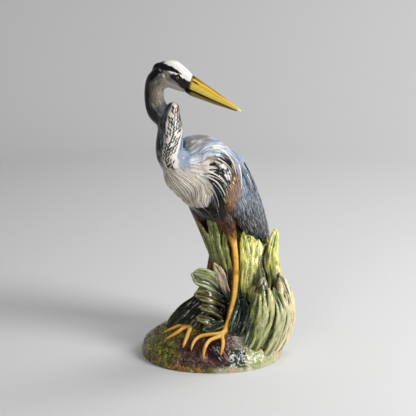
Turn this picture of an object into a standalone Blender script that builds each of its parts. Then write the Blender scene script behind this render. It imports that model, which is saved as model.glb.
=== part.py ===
"""Glazed earthenware heron standing among reeds and curled leaves on a mossy mound.

Metres, +Z up, with the origin at the middle of the mound's flat underside.
The bird is modelled in its own frame, +X forwards and +Y to its left, and turned by HEADING on the mound.
Its head has a frame of its own again, +X along the bill, because it looks back over the left shoulder.
Pieces that meet are parted by thin cuts of width GAP: the first piece stays whole, the second is carved.
"""
import math

import bmesh
import bpy
from mathutils import Matrix, Vector

MM = 0.001

# Driving dimensions, in millimetres.
MOUND_HALF_WIDTH = 121.5
MOUND_HALF_DEPTH = 115.0
MOUND_HEIGHT = 58.0
MOUND_SQUARENESS = 2.3    # exponent of its outline: 2 is an ellipse, higher has fuller corners
MOUND_ROLL = 2.2          # exponent of its profile: higher is a flatter top
MOUND_SLUMP = 0.68        # how far the quarter behind the bird's right foot sags
HEADING = math.radians(220)  # the bird's forward direction, turned from +X about +Z
BILL_LENGTH = 95.0
BILL_DEPTH = 31.0
EYE_RADIUS = 3.9
TOE_RADIUS = 3.9
GAP = 0.35                # the thin cut between neighbours

GLAZES = {
    "slate_blue": (0.19, 0.24, 0.32),
    "cream": (0.72, 0.68, 0.58),
    "ink": (0.03, 0.03, 0.035),
    "rust": (0.35, 0.14, 0.05),
    "white": (0.85, 0.84, 0.8),
    "bill_yellow": (0.8, 0.55, 0.06),
    "leg_orange": (0.75, 0.38, 0.05),
    "eye_gold": (0.45, 0.4, 0.1),
    "reed_green": (0.4, 0.45, 0.08),
    "leaf_green": (0.08, 0.14, 0.06),
    "pale_leaf": (0.55, 0.55, 0.25),
    "moss": (0.16, 0.18, 0.06),
    "plum_stone": (0.1, 0.03, 0.04),
}


def clear_scene():
    for thing in list(bpy.data.objects):
        bpy.data.objects.remove(thing)


def glaze(name):
    """The fired glaze of one colour."""
    if name in bpy.data.materials:
        return bpy.data.materials[name]
    material = bpy.data.materials.new(name)
    material.use_nodes = True
    shader = material.node_tree.nodes["Principled BSDF"]
    shader.inputs["Base Color"].default_value = (*GLAZES[name], 1.0)
    shader.inputs["Roughness"].default_value = 0.18
    shader.inputs["Metallic"].default_value = 0.0
    return material


def object_from(name, mesh_builder, colour, parent=None):
    """An object made of a finished bmesh, shaded smooth, in its parent's frame."""
    bmesh.ops.recalc_face_normals(mesh_builder, faces=mesh_builder.faces)
    bmesh.ops.triangulate(mesh_builder, faces=mesh_builder.faces)
    mesh = bpy.data.meshes.new(name)
    mesh_builder.to_mesh(mesh)
    mesh_builder.free()
    mesh.materials.append(glaze(colour))
    mesh.shade_smooth()
    made = bpy.data.objects.new(name, mesh)
    bpy.context.scene.collection.objects.link(made)
    made.parent = parent
    return made


def frame_at(name, place, rotation, parent=None):
    """An empty that carries the pieces modelled in one frame. The place is in millimetres."""
    empty = bpy.data.objects.new(name, None)
    bpy.context.scene.collection.objects.link(empty)
    empty.location = Vector(place) * MM
    empty.rotation_euler = rotation
    empty.parent = parent
    bpy.context.view_layer.update()
    return empty


def through(rows, steps):
    """Catmull-Rom curve through rows of numbers, with this many steps between each pair."""
    ends = [rows[0], *rows, rows[-1]]
    curve = []
    for first, a, b, last in zip(ends, ends[1:], ends[2:], ends[3:]):
        for step in range(steps):
            t = step / steps
            curve.append([
                0.5 * (2 * q + (r - p) * t + (2 * p - 5 * q + 4 * r - s) * t * t
                       + (3 * q - p - 3 * r + s) * t ** 3)
                for p, q, r, s in zip(first, a, b, last)
            ])
    curve.append(list(rows[-1]))
    return curve


def domed(stations, at_start=0.0, at_end=0.0, rings=3):
    """Adds a rounded end, where the width falls off as a quarter ellipse."""
    def dome(end, inner, bulge):
        away = (Vector(end[:3]) - Vector(inner[:3])).normalized()
        reach = bulge * min(end[3], end[4])
        made = []
        for ring in range(1, rings + 1):
            turn = math.pi / 2 * ring / (rings + 0.35)
            centre = Vector(end[:3]) + away * reach * math.sin(turn)
            made.append([*centre, end[3] * math.cos(turn), end[4] * math.cos(turn)])
        return made

    start = dome(stations[0], stations[1], at_start)[::-1] if at_start else []
    finish = dome(stations[-1], stations[-2], at_end) if at_end else []
    return start + stations + finish


def loft(name, stations, colour, sides=16, across=(0, 1, 0), parent=None, groove=0.0):
    """A closed skin through rings. A station is a centre, a half width along `across` and a half depth.

    groove is the share of the half depth that a crease along the front takes away.
    """
    builder = bmesh.new()
    centres = [Vector(station[:3]) * MM for station in stations]
    rings = []
    for index, station in enumerate(stations):
        before = centres[max(index - 1, 0)]
        after = centres[min(index + 1, len(centres) - 1)]
        along = (after - before).normalized()
        side = (Vector(across) - along * along.dot(Vector(across))).normalized()
        deep = along.cross(side)
        ring = []
        for step in range(sides):
            angle = 2 * math.pi * step / sides
            x, y = math.cos(angle), math.sin(angle)
            if y < -0.99:
                y *= 1 - groove
            place = centres[index] + side * x * station[3] * MM + deep * y * station[4] * MM
            ring.append(builder.verts.new(place))
        rings.append(ring)
    skin(builder, rings)
    return object_from(name, builder, colour, parent)


def skin(builder, rings):
    """Joins rings of vertices into a closed body, with a fan at each end."""
    for lower, upper in zip(rings, rings[1:]):
        for step in range(len(lower)):
            following = (step + 1) % len(lower)
            builder.faces.new((lower[step], lower[following], upper[following], upper[step]))
    for ring in (rings[0], rings[-1]):
        middle = sum((vertex.co for vertex in ring), Vector()) / len(ring)
        pole = builder.verts.new(middle)
        for step in range(len(ring)):
            builder.faces.new((ring[step], ring[(step + 1) % len(ring)], pole))


FIRST_SHAPES = {}  # the smooth bodies each piece was made of, before anything was carved out of it


def grown_copies(piece, gap):
    """Hidden helpers: the piece's first bodies, with their surfaces pushed out by the gap."""
    cutters = []
    for shape in FIRST_SHAPES.get(piece.name, [piece.data]):
        builder = bmesh.new()
        builder.from_mesh(shape)
        builder.normal_update()
        for vertex in builder.verts:
            vertex.co += vertex.normal * gap * MM
        mesh = bpy.data.meshes.new(piece.name + "_cutter")
        builder.to_mesh(mesh)
        builder.free()
        cutter = bpy.data.objects.new(piece.name + "_cutter", mesh)
        bpy.context.scene.collection.objects.link(cutter)
        cutter.matrix_world = piece.matrix_world
        cutter.hide_render = True
        cutter.display_type = "WIRE"
        cutters.append(cutter)
    return cutters


def keep_largest(builder):
    """Deletes every loose body but the one with most volume."""
    todo = set(builder.verts)
    bodies = []
    while todo:
        body, front = set(), [todo.pop()]
        while front:
            vertex = front.pop()
            body.add(vertex)
            for edge in vertex.link_edges:
                other = edge.other_vert(vertex)
                if other in todo:
                    todo.remove(other)
                    front.append(other)
        faces = {face for vertex in body for face in vertex.link_faces}
        volume = sum(
            corners[0].co.dot(corners[step].co.cross(corners[step + 1].co))
            for corners in (list(face.verts) for face in faces)
            for step in range(1, len(corners) - 1)
        )
        bodies.append((abs(volume), body))
    largest = max(bodies, key=lambda found: found[0])[1]
    bmesh.ops.delete(builder, geom=[v for v in builder.verts if v not in largest], context="VERTS")


def apply_boolean(piece, tool, operation):
    """Runs one exact Boolean and stores its result in the piece's mesh."""
    modifier = piece.modifiers.new(operation.title(), "BOOLEAN")
    modifier.operation = operation
    modifier.solver = "EXACT"
    modifier.object = tool
    bpy.context.view_layer.update()
    graph = bpy.context.evaluated_depsgraph_get()
    mesh = bpy.data.meshes.new_from_object(piece.evaluated_get(graph))
    piece.modifiers.clear()
    for weld in (0.03, 0.003, 0.0):
        builder = bmesh.new()
        builder.from_mesh(mesh)
        bmesh.ops.triangulate(builder, faces=builder.faces)
        bmesh.ops.remove_doubles(builder, verts=builder.verts, dist=weld * MM)
        bmesh.ops.dissolve_degenerate(builder, edges=builder.edges, dist=weld * MM)
        keep_largest(builder)
        closed = all(edge.is_manifold for edge in builder.edges)
        if closed or not weld:
            builder.to_mesh(mesh)
        builder.free()
        if closed:
            break
    mesh.shade_smooth()
    piece.data = mesh


def carve(piece, *neighbours, gap=GAP):
    """Takes the neighbours, grown by the gap, out of the piece."""
    FIRST_SHAPES.setdefault(piece.name, [piece.data.copy()])
    for neighbour in neighbours:
        for cutter in grown_copies(neighbour, gap):
            apply_boolean(piece, cutter, "DIFFERENCE")
            bpy.data.objects.remove(cutter)


def fuse(piece, others):
    """Joins overlapping bodies into one."""
    FIRST_SHAPES[piece.name] = [piece.data.copy(), *[other.data.copy() for other in others]]
    for other in others:
        apply_boolean(piece, other, "UNION")
        bpy.data.objects.remove(other)
    return piece


# ---------------------------------------------------------------- mound

def mound_height(x, y):
    """Height of the mound over a point, in millimetres."""
    left = max(0.0, -x / MOUND_HALF_WIDTH)
    back = max(0.0, y / MOUND_HALF_DEPTH)
    squareness = MOUND_SQUARENESS
    across = abs(x / MOUND_HALF_WIDTH) ** squareness
    along = abs(y / MOUND_HALF_DEPTH) ** squareness
    out = (across + along) ** (1 / squareness)
    dome = MOUND_HEIGHT * math.sqrt(max(0.0, 1 - out ** MOUND_ROLL))
    return dome * (1 - MOUND_SLUMP * left * (back + 0.15 * min(1.0, 5 * back)))


def make_mound():
    """A low dome with a steep rim and a flat underside."""
    sides, levels = 40, 7
    builder = bmesh.new()
    rings = []
    for level in range(levels):
        out = math.sin(math.pi / 2 * (1 - level / levels)) ** 0.8
        ring = []
        for step in range(sides):
            angle = 2 * math.pi * step / sides
            cosine, sine = math.cos(angle), math.sin(angle)
            spread = abs(cosine) ** MOUND_SQUARENESS + abs(sine) ** MOUND_SQUARENESS
            corner = spread ** (-1 / MOUND_SQUARENESS)
            x = MOUND_HALF_WIDTH * out * corner * cosine
            y = MOUND_HALF_DEPTH * out * corner * sine
            height = mound_height(x, y) if level else 0.0
            ring.append(builder.verts.new(Vector((x, y, height)) * MM))
        rings.append(ring)
    skin(builder, rings)
    return object_from("mound", builder, "moss")


def make_stone(place, radii, turn):
    """The worn stone under the bird's left foot."""
    builder = bmesh.new()
    bmesh.ops.create_icosphere(builder, subdivisions=3, radius=1.0)
    for vertex in builder.verts:
        direction = vertex.co.normalized()
        lump = 1 + 0.05 * math.sin(4 * direction.x + 2 * direction.z) * math.cos(3 * direction.y)
        vertex.co = Vector([c * r * lump * MM for c, r in zip(direction, radii)])
    stone = object_from("stone", builder, "plum_stone")
    stone.location = Vector(place) * MM
    stone.rotation_euler = turn
    bpy.context.view_layer.update()
    return stone


# ---------------------------------------------------------------- leaves

def leaf(name, route, width, thickness, colour, face=(0, -1, 0), root=0.55, point=0.62, steps=2):
    """A thick clay leaf along a route from root to tip.

    width and thickness are the greatest ones; root is the share of the width kept at the root, and
    point is where along the leaf it is widest. `face` is the way its front looks.
    """
    rows = through([list(place) for place in route], steps)
    last = len(rows) - 1
    stations = []
    for index, row in enumerate(rows):
        t = index / last
        if t < point:
            swell = root + (1 - root) * math.sin(math.pi / 2 * t / point)
        else:
            swell = math.cos(math.pi / 2 * (t - point) / (1 - point)) ** 0.6
        swell = max(swell, 0.16)
        stations.append([*row, width / 2 * swell, thickness / 2 * max(swell, 0.35) ** 0.7])
    centres = [Vector(station[:3]) for station in stations]
    overall = (centres[-1] - centres[0]).normalized()
    across = overall.cross(Vector(face)).normalized()
    return loft(name, domed(stations, at_end=1.0, rings=1), colour, sides=8, across=across, groove=0.7)


REEDS = {  # routes from root to tip, width, thickness
    "reed_1": (((12, -14, 104), (-2, -10, 176), (-25, -6, 228)), 12, 7),
    "reed_2": (((24, -18, 100), (8, -14, 178), (-5, -4, 236)), 17, 9),
    "reed_3": (((33, -18, 98), (25, -15, 165), (15, -6, 216)), 16, 9),
    "reed_4": (((54, -20, 92), (48, -17, 163), (43, -6, 226)), 17, 9),
    "reed_5": (((60, -24, 92), (58, -22, 157), (58, -6, 216)), 17, 9),
    "reed_6": (((66, -22, 96), (69, -20, 150), (75, -2, 206)), 21, 10),
    "reed_7": (((78, -10, 92), (81, -6, 146), (87, 10, 194)), 22, 10),
    "reed_tall": (((100, 0, 74), (99, 8, 138), (108, 24, 198)), 32, 13),
    "reed_back_1": (((20, 50, 80), (12, 54, 146), (0, 44, 206)), 36, 11),
    "reed_back_2": (((52, 62, 80), (54, 62, 140), (60, 58, 186)), 34, 11),
    "reed_back_3": (((84, 40, 76), (90, 42, 138), (92, 46, 184)), 32, 11),
}

LEAVES = {  # routes from root to tip, width, thickness, the way the front looks
    "leaf_cream": (((29, -26, 96), (17, -28, 130), (1, -26, 160)), 17, 10, (-0.3, -1, 0.2)),
    "leaf_left_1": (((24, -20, 100), (-6, -30, 131), (-36, -34, 142)), 31, 12, (-0.2, -0.9, 0.5)),
    "leaf_left_2": (((20, -30, 84), (-5, -42, 106), (-32, -46, 112)), 18, 13, (-0.2, -0.6, 0.9)),
    "leaf_left_3": (((16, -40, 68), (-2, -50, 86), (-20, -52, 92)), 15, 10, (-0.2, -0.6, 0.9)),
    "leaf_left_4": (((6, -22, 58), (-28, -32, 79), (-64, -27, 54)), 36, 14, (-0.1, -0.7, 0.8)),
    "leaf_left_5": (((12, -46, 52), (-6, -54, 66), (-26, -54, 74)), 17, 10, (-0.2, -0.8, 0.7)),
    "leaf_left_6": (((22, -46, 62), (6, -56, 59), (-14, -62, 55)), 20, 12, (0.1, -0.8, 0.7)),
    "leaf_middle": (((48, -30, 98), (46, -50, 72), (33, -66, 44)), 34, 12, (0, -1, 0.3)),
    "leaf_knob": (((66, -36, 74), (76, -44, 114), (84, -38, 136)), 20, 14, (-0.2, -1, 0.2)),
    "leaf_right_1": (((58, -76, 16), (78, -66, 74), (86, -50, 128)), 36, 15, (-0.1, -1, 0.3)),
    "leaf_right_2": (((92, -60, 10), (106, -50, 60), (102, -32, 114)), 36, 14, (0.4, -1, 0.2)),
    "leaf_right_3": (((108, -38, 2), (124, -24, 62), (116, 0, 126)), 44, 15, (0.8, -0.7, 0.1)),
    "leaf_right_4": (((100, 24, 8), (119, 30, 60), (110, 34, 120)), 44, 14, (1, 0.3, 0.1)),
    "leaf_back_1": (((66, 70, 10), (82, 74, 60), (78, 66, 114)), 46, 14, (0.4, 1, 0.1)),
    "leaf_back_2": (((12, 80, 8), (14, 84, 58), (22, 74, 108)), 46, 14, (0, 1, 0.2)),
    "leaf_back_3": (((-20, 62, 22), (-14, 68, 62), (-2, 60, 104)), 38, 13, (-0.5, 0.9, 0.2)),
    "leaf_back_4": (((-14, 18, 40), (-14, 22, 80), (0, 28, 116)), 30, 12, (-1, 0.2, 0.2)),
}


def make_plants():
    """The reed stand that props the bird, and the leaves that curl round its foot."""
    trunk_of_reeds = [
        [30, 18, 30, 52, 50],
        [36, 18, 70, 52, 48],
        [43, 20, 110, 47, 40],
        [45, 22, 150, 43, 35],
        [44, 24, 185, 42, 30],
        [40, 28, 214, 36, 24],
    ]
    stand = loft("reed_stand", domed(trunk_of_reeds, at_end=0.5, rings=1), "reed_green",
                 sides=10, across=(1, 0, 0))
    reeds = [
        leaf(name, route, width, thickness, "reed_green",
             face=(Vector(route[1]) - Vector((40, 24, route[1][2]))), root=0.8, point=0.45)
        for name, (route, width, thickness) in REEDS.items()
    ]
    leaves = [
        leaf(name, route, width, thickness, "pale_leaf" if "right" in name else "leaf_green", face=face)
        for name, (route, width, thickness, face) in LEAVES.items()
    ]
    return stand, reeds, leaves


# ---------------------------------------------------------------- bird

TRUNK = [  # forward, left, up, half width, half depth
    [86, 0, 333, 19, 17],
    [70, 0, 322, 29, 36],
    [48, 0, 323, 38, 55],
    [18, 0, 311, 43, 60],
    [-6, 0, 286, 43, 56],
    [-25, 0, 262, 39, 48],
    [-46, 0, 238, 31, 37],
    [-72, 0, 213, 22, 24],
    [-94, 0, 192, 14, 14],
]

WING = [  # forward, left, up, half thickness, half breadth
    [48, 33, 345, 9, 16],
    [30, 39, 335, 12, 30],
    [4, 43, 313, 13, 39],
    [-22, 42, 282, 13, 35],
    [-48, 36, 246, 12, 32],
    [-74, 28, 214, 10, 26],
    [-98, 19, 190, 8, 17],
    [-112, 13, 175, 6, 9],
]

TAIL = [
    [-70, 0, 206, 16, 12],
    [-96, 0, 182, 15, 7],
    [-120, 0, 160, 13, 5],
]


def make_body(bird):
    trunk = loft("trunk", domed(TRUNK, at_start=0.5, at_end=0.8, rings=2), "slate_blue",
                 sides=16, parent=bird)
    wings = []
    for name, side in (("wing_left", 1), ("wing_right", -1)):
        stations = [[a, side * s, h, thick, broad] for a, s, h, thick, broad in WING]
        wings.append(loft(name, domed(stations, at_start=0.7, at_end=0.9, rings=2),
                          "slate_blue", sides=10, parent=bird))
    tail = loft("tail", domed(TAIL, at_end=0.4, rings=1), "ink", sides=8, parent=bird)
    return trunk, wings, tail


THIGHS = {  # forward, left, up, radius
    "thigh_left": [[-6, 17, 248, 21], [-13, 22, 228, 15.5], [-19, 26, 210, 10.5], [-21, 30, 196, 7.2],
                   [-22, 32, 186, 5.8]],
    "thigh_right": [[0, -18, 248, 21], [-1, -22, 228, 14], [-2, -24, 212, 10], [-8, -22, 194, 7.2],
                    [-12, -19, 180, 5.8]],
}

SHANKS = {
    "shank_left": [[-22, 33, 184, 5.0], [-22, 36, 167, 5.3], [-22, 38, 152, 5.6], [-20, 39, 142, 6.3],
                   [-18, 41, 132, 5.6], [-8, 48, 105, 5.0], [4, 52, 84, 4.4], [13, 56, 68, 4.0],
                   [24, 59, 54, 4.0]],
    "shank_right": [[-13, -18, 178, 5.0], [-12, -17, 159, 5.4], [-9, -16, 143, 6.2], [-3, -14, 128, 5.5],
                    [7, -12, 111, 4.9], [28, -4, 82, 4.3], [51, 9, 58, 4.0]],
}

# Toe routes on the mound in the bird's frame: from the heel, over the knuckle, to the claw's tip.
TOES = {
    "left": ((29, 60, 50), ((43, 57, 51), (61, 45, 49), (73, 43, 45), (84, 48, 40), (89, 51, 33)),
             ((43, 66, 49), (63, 67, 48), (76, 71, 41), (81, 73, 31), (82, 75, 22)),
             ((38, 70, 48), (47, 82, 43), (55, 88, 35), (59, 90, 27)),
             ((20, 60, 52), (10, 57, 51), (2, 54, 50))),
    "right": ((57, 11, 54), ((66, -7, 53), (78, -15, 48), (89, -25, 40)),
              ((68, 5, 53), (80, 4, 48), (91, -2, 41), (104, -13, 30)),
              ((68, 19, 51), (80, 27, 44), (89, 32, 37), (93, 35, 31)),
              ((49, 14, 56), (41, 17, 56))),
}


def make_legs(bird):
    thighs = {
        name: loft(name, domed([[*row, row[3]] for row in rows], at_start=0.8, at_end=0.3, rings=2),
                   "rust", sides=10, parent=bird)
        for name, rows in THIGHS.items()
    }
    shanks = {
        name: loft(name, domed([[*row, row[3]] for row in rows], at_end=0.4, rings=1),
                   "leg_orange", sides=8, parent=bird)
        for name, rows in SHANKS.items()
    }
    feet = {}
    for side, (heel, *toes) in TOES.items():
        strands = []
        for index, toe in enumerate(toes):
            inside = Vector(heel).lerp(Vector(toe[0]), 0.12)
            route = [list(inside), *[list(place) for place in toe]]
            last = len(route) - 1
            stations = []
            for step, place in enumerate(route):
                radius = TOE_RADIUS * (1.05 - 0.55 * (step / last) ** 3)
                stations.append([*place, radius, radius])
            strands.append(loft(f"toe_{side}_{index}", domed(stations, at_start=0.9, at_end=1.2, rings=1),
                                "leg_orange", sides=6, across=(0, 0, 1), parent=bird))
        builder = bmesh.new()
        bmesh.ops.create_icosphere(builder, subdivisions=2, radius=TOE_RADIUS * 1.35 * MM)
        bmesh.ops.translate(builder, verts=builder.verts, vec=Vector(heel) * MM)
        heel_ball = object_from(f"foot_{side}", builder, "leg_orange", bird)
        feet[side] = fuse(heel_ball, strands)
    return thighs, shanks, feet


NECK_LOWER = [  # forward, left, up, half width, half depth
    [66, 0, 318, 31, 31],
    [82, 0, 329, 27, 27],
    [93, 1, 350, 22.5, 22.5],
    [93, 3, 368, 21.5, 22],
    [92, 4, 386, 20.5, 21],
    [91, 3, 404, 18.5, 19],
    [88, 3, 419, 13.5, 14],
    [85, 4, 428, 9.5, 10],
]

NECK_UPPER = [
    [90, -2, 407, 15, 15],
    [95, -9, 412, 17, 17],
    [99, -18, 421, 17.5, 17.5],
    [102, -23, 436, 16, 16],
    [102, -23, 453, 15.5, 15.5],
    [99, -20, 467, 17, 17],
    [92, -14, 476, 19, 17],
]


def make_neck(bird):
    lower = loft("neck_lower", domed(NECK_LOWER, at_end=0.75, rings=2), "cream",
                 sides=14, across=(0, 1, 0), parent=bird)
    upper = loft("neck_upper", domed(NECK_UPPER, at_end=0.5, rings=2), "slate_blue",
                 sides=10, across=(1, 0, 0), parent=bird)
    return lower, upper


HEAD = [  # along the bill, to the left, up, half width, half depth
    [-30, 0, -4, 12, 12.5],
    [-20, 0, -1.5, 16, 18.5],
    [-8, 0, 0.5, 17, 22],
    [6, 0, 0, 15, 20],
    [18, 0, -1, 12, 17],
    [25, 0, -2, 10.5, 15],
]


def make_head(bird):
    """Head, bill and eyes. The head's frame has its origin between the eyes."""
    turn = frame_at("head_frame", (75.5, -1, 474.5), (0, math.radians(25.2), math.radians(129)), bird)
    head = loft("head", domed(HEAD, at_start=0.8, rings=2), "white", sides=12, parent=turn)

    upper_stations, lower_stations = [], []
    rings = 7
    for ring in range(rings + 1):
        t = ring / rings
        taper = (1 - t) ** 0.8
        x = 22 + BILL_LENGTH * t
        drop = -2.5 - 1.0 * t
        split = drop - BILL_DEPTH * 0.19 * taper
        top = drop + BILL_DEPTH * 0.5 * taper + 1.3
        bottom = drop - BILL_DEPTH * 0.5 * taper - 0.7
        upper_stations.append([x, 0, (top + split) / 2, 1.1 + 8.9 * taper, (top - split) / 2])
        lip = split - GAP
        lower_stations.append([x, 0, (lip + bottom) / 2, 0.7 + 7.8 * taper, (lip - bottom) / 2])
    upper = loft("bill_upper", upper_stations, "bill_yellow", sides=10, parent=turn)
    lower = loft("bill_lower", lower_stations[:-1], "bill_yellow", sides=10, parent=turn)
    eyes = []
    for name, side in (("eye_left", 1), ("eye_right", -1)):
        builder = bmesh.new()
        bmesh.ops.create_icosphere(builder, subdivisions=2, radius=EYE_RADIUS * MM)
        eye = object_from(name, builder, "eye_gold", turn)
        eye.location = Vector((4.5, side * 12.6, 2.0)) * MM
        eyes.append(eye)
    bpy.context.view_layer.update()
    return head, upper, lower, eyes


# ---------------------------------------------------------------- assembly

def main():
    clear_scene()
    mound = make_mound()
    stone = make_stone((-5, -82, 25), (41, 28, 18), (math.radians(8), math.radians(10), math.radians(-35)))
    stand, reeds, leaves = make_plants()
    bird = frame_at("bird_frame", (0, 0, 0), (0, 0, HEADING))
    trunk, wings, tail = make_body(bird)
    thighs, shanks, feet = make_legs(bird)
    neck_lower, neck_upper = make_neck(bird)
    head, bill_upper, bill_lower, eyes = make_head(bird)
    bpy.context.view_layer.update()

    # Each piece is carved by the ones that stay whole in front of it.
    carve(bill_lower, bill_upper)
    carve(head, bill_upper, bill_lower, *eyes)
    carve(neck_upper, head, neck_lower)
    carve(wings[1], wings[0])
    carve(trunk, neck_lower, *wings)
    carve(tail, trunk, *wings)
    for name, thigh in thighs.items():
        carve(thigh, trunk, *wings)
    bird_pieces = [trunk, *wings, tail, *thighs.values()]
    for name, shank in shanks.items():
        side = name.split("_")[1]
        carve(shank, thighs["thigh_" + side], feet[side])
    carve(stone, mound)
    for foot in feet.values():
        carve(foot, mound, stone)
    carve(stand, mound, *bird_pieces, *shanks.values())
    standing = [mound, stone, *feet.values(), *shanks.values(), *bird_pieces, stand]
    for plant in leaves + reeds:
        carve(plant, *touching(plant, standing))
        standing.append(plant)


def touching(piece, others):
    """The others whose boxes meet the piece's."""
    def box(thing):
        corners = [thing.matrix_world @ Vector(corner) for corner in thing.bound_box]
        return [(min(c[axis] for c in corners), max(c[axis] for c in corners)) for axis in range(3)]

    own = box(piece)
    return [
        other for other in others
        if all(low <= own_high and own_low <= high
               for (own_low, own_high), (low, high) in zip(own, box(other)))
    ]


main()
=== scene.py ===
import itertools
import math

import bpy
import numpy as np
from mathutils import Euler, Matrix, Vector
from mathutils.kdtree import KDTree


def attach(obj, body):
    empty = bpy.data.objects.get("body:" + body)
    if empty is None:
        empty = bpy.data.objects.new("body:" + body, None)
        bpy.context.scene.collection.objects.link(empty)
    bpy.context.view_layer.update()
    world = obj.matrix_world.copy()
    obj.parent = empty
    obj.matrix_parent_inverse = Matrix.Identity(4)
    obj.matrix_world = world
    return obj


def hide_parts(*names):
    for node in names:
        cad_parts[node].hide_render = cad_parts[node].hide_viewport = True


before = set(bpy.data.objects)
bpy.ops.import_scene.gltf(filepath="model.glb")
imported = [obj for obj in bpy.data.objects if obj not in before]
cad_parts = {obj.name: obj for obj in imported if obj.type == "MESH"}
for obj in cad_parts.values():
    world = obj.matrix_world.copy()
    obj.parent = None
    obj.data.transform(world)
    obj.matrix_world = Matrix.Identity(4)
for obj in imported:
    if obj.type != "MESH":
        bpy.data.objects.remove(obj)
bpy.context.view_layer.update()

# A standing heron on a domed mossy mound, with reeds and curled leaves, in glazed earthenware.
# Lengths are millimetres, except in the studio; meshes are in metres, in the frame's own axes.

MM = 0.001
HEADING = math.radians(220)          # the bird's forward direction, turned from +X
CLAY_VOXEL = 1.25 * MM               # grid on which the bird's parts are pressed into one skin


# ---------------------------------------------------------------- numbers

def linear(hex_colour):
    """A glaze colour written as sRGB hex, as linear light."""
    parts = [int(hex_colour[i:i + 2], 16) / 255 for i in (1, 3, 5)]
    return np.array([c / 12.92 if c <= 0.04045 else ((c + 0.055) / 1.055) ** 2.4 for c in parts])


def rise(low, high, x):
    """0 below low, 1 above high, and a soft step between. low may be the higher one."""
    t = np.clip((x - low) / (high - low), 0, 1)
    return t * t * (3 - 2 * t)


def mottle(places, size, seed=0):
    """Soft random numbers from -1 to 1 that change over about this size, and are the same every run."""
    p = np.asarray(places, float) / size + 31.7 * seed + 1000.0
    cell = np.floor(p).astype(np.int64)
    part = p - cell
    part = part * part * (3 - 2 * part)
    total = np.zeros(len(p))
    for corner in itertools.product((0, 1), repeat=p.shape[1]):
        weight = np.ones(len(p))
        key = np.full(len(p), 97 + seed, np.int64)
        for axis, step in enumerate(corner):
            weight *= part[:, axis] if step else 1 - part[:, axis]
            key = (key * 1103515245 + (cell[:, axis] + step) * 12345 + 7919) % 2147483647
            key = (key ^ (key >> 13)) % 2147483647
        key = (key * 48271) % 2147483647
        total += weight * (key / 2147483647.0)
    return 2 * total - 1


def layered(places, size, seed=0, layers=3):
    """Mottle with finer mottle on it."""
    return sum(mottle(places, size / 2 ** n, seed + n) / 2 ** n for n in range(layers)) / 1.6


def through(rows, steps):
    """A smooth curve through rows of numbers, with this many steps between each pair."""
    rows = np.array(rows, float)
    padded = np.vstack([rows[:1], rows, rows[-1:]])
    t = (np.arange(steps) / steps)[:, None]
    made = []
    for p, q, r, s in zip(padded, padded[1:], padded[2:], padded[3:]):
        made.append(0.5 * (2 * q + (r - p) * t + (2 * p - 5 * q + 4 * r - s) * t ** 2
                           + (3 * q - p - 3 * r + s) * t ** 3))
    return np.vstack([*made, rows[-1:]])


def domed(stations, start=0.0, end=0.0, rings=7):
    """Stations with rounded ends, whose width falls off as a quarter ellipse."""
    def cap(last, inner, bulge):
        away = (last[:3] - inner[:3]) / np.linalg.norm(last[:3] - inner[:3])
        turn = (np.pi / 2 * np.arange(1, rings + 1) / (rings + 0.3))[:, None]
        centres = last[:3] + away * bulge * min(last[3], last[4]) * np.sin(turn)
        return np.hstack([centres, last[3:5] * np.cos(turn)])

    parts = [stations]
    if start:
        parts.insert(0, cap(stations[0], stations[1], start)[::-1])
    if end:
        parts.append(cap(stations[-1], stations[-2], end))
    return np.vstack(parts)


def route_length(centres):
    return np.concatenate([[0], np.cumsum(np.linalg.norm(np.diff(centres, axis=0), axis=1))])


def along_route(places, centres):
    """For each place: how far along the route its nearest point is, and the way from there to the place."""
    reached = route_length(centres)
    best = np.full(len(places), 1e9)
    along = np.zeros(len(places))
    offset = np.zeros((len(places), 3))
    for a, b, start in zip(centres, centres[1:], reached):
        step = b - a
        t = np.clip((places - a) @ step / (step @ step), 0, 1)
        away = places - a - t[:, None] * step
        distance = np.einsum("ij,ij->i", away, away)
        nearer = distance < best
        best[nearer] = distance[nearer]
        along[nearer] = start + t[nearer] * np.linalg.norm(step)
        offset[nearer] = away[nearer]
    return along, offset


# ---------------------------------------------------------------- clay

def deselect():
    if bpy.context.object and bpy.context.object.mode != "OBJECT":
        bpy.ops.object.mode_set(mode="OBJECT")
    bpy.ops.object.select_all(action="DESELECT")


def chosen(*pieces):
    """Only these pieces are selected, and the first is the active one."""
    deselect()
    for piece in pieces:
        piece.select_set(True)
    bpy.context.view_layer.objects.active = pieces[0]


def applied(piece, kind, **settings):
    """Adds one modifier and applies it."""
    chosen(piece)
    modifier = piece.modifiers.new(kind.title(), kind)
    for name, value in settings.items():
        setattr(modifier, name, value)
    bpy.ops.object.modifier_apply(modifier=modifier.name)


def rings_of(stations, sides, across, profile=None):
    """Rings of points round a route. A station is a centre, a half width along `across` and a half depth."""
    centres = stations[:, :3]
    heading = np.gradient(centres, axis=0)
    heading /= np.linalg.norm(heading, axis=1, keepdims=True)
    across = np.array(across, float)
    side = across - heading * (heading @ across)[:, None]
    side /= np.linalg.norm(side, axis=1, keepdims=True)
    deep = np.cross(heading, side)
    angle = 2 * np.pi * np.arange(sides) / sides
    x = np.tile(np.cos(angle), (len(stations), 1))
    y = np.tile(np.sin(angle), (len(stations), 1))
    if profile:
        t = route_length(centres)
        x, y = profile(x, y, (t / t[-1])[:, None])
    return (centres[:, None] + side[:, None] * (x * stations[:, 3:4])[..., None]
            + deep[:, None] * (y * stations[:, 4:5])[..., None])


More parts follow.
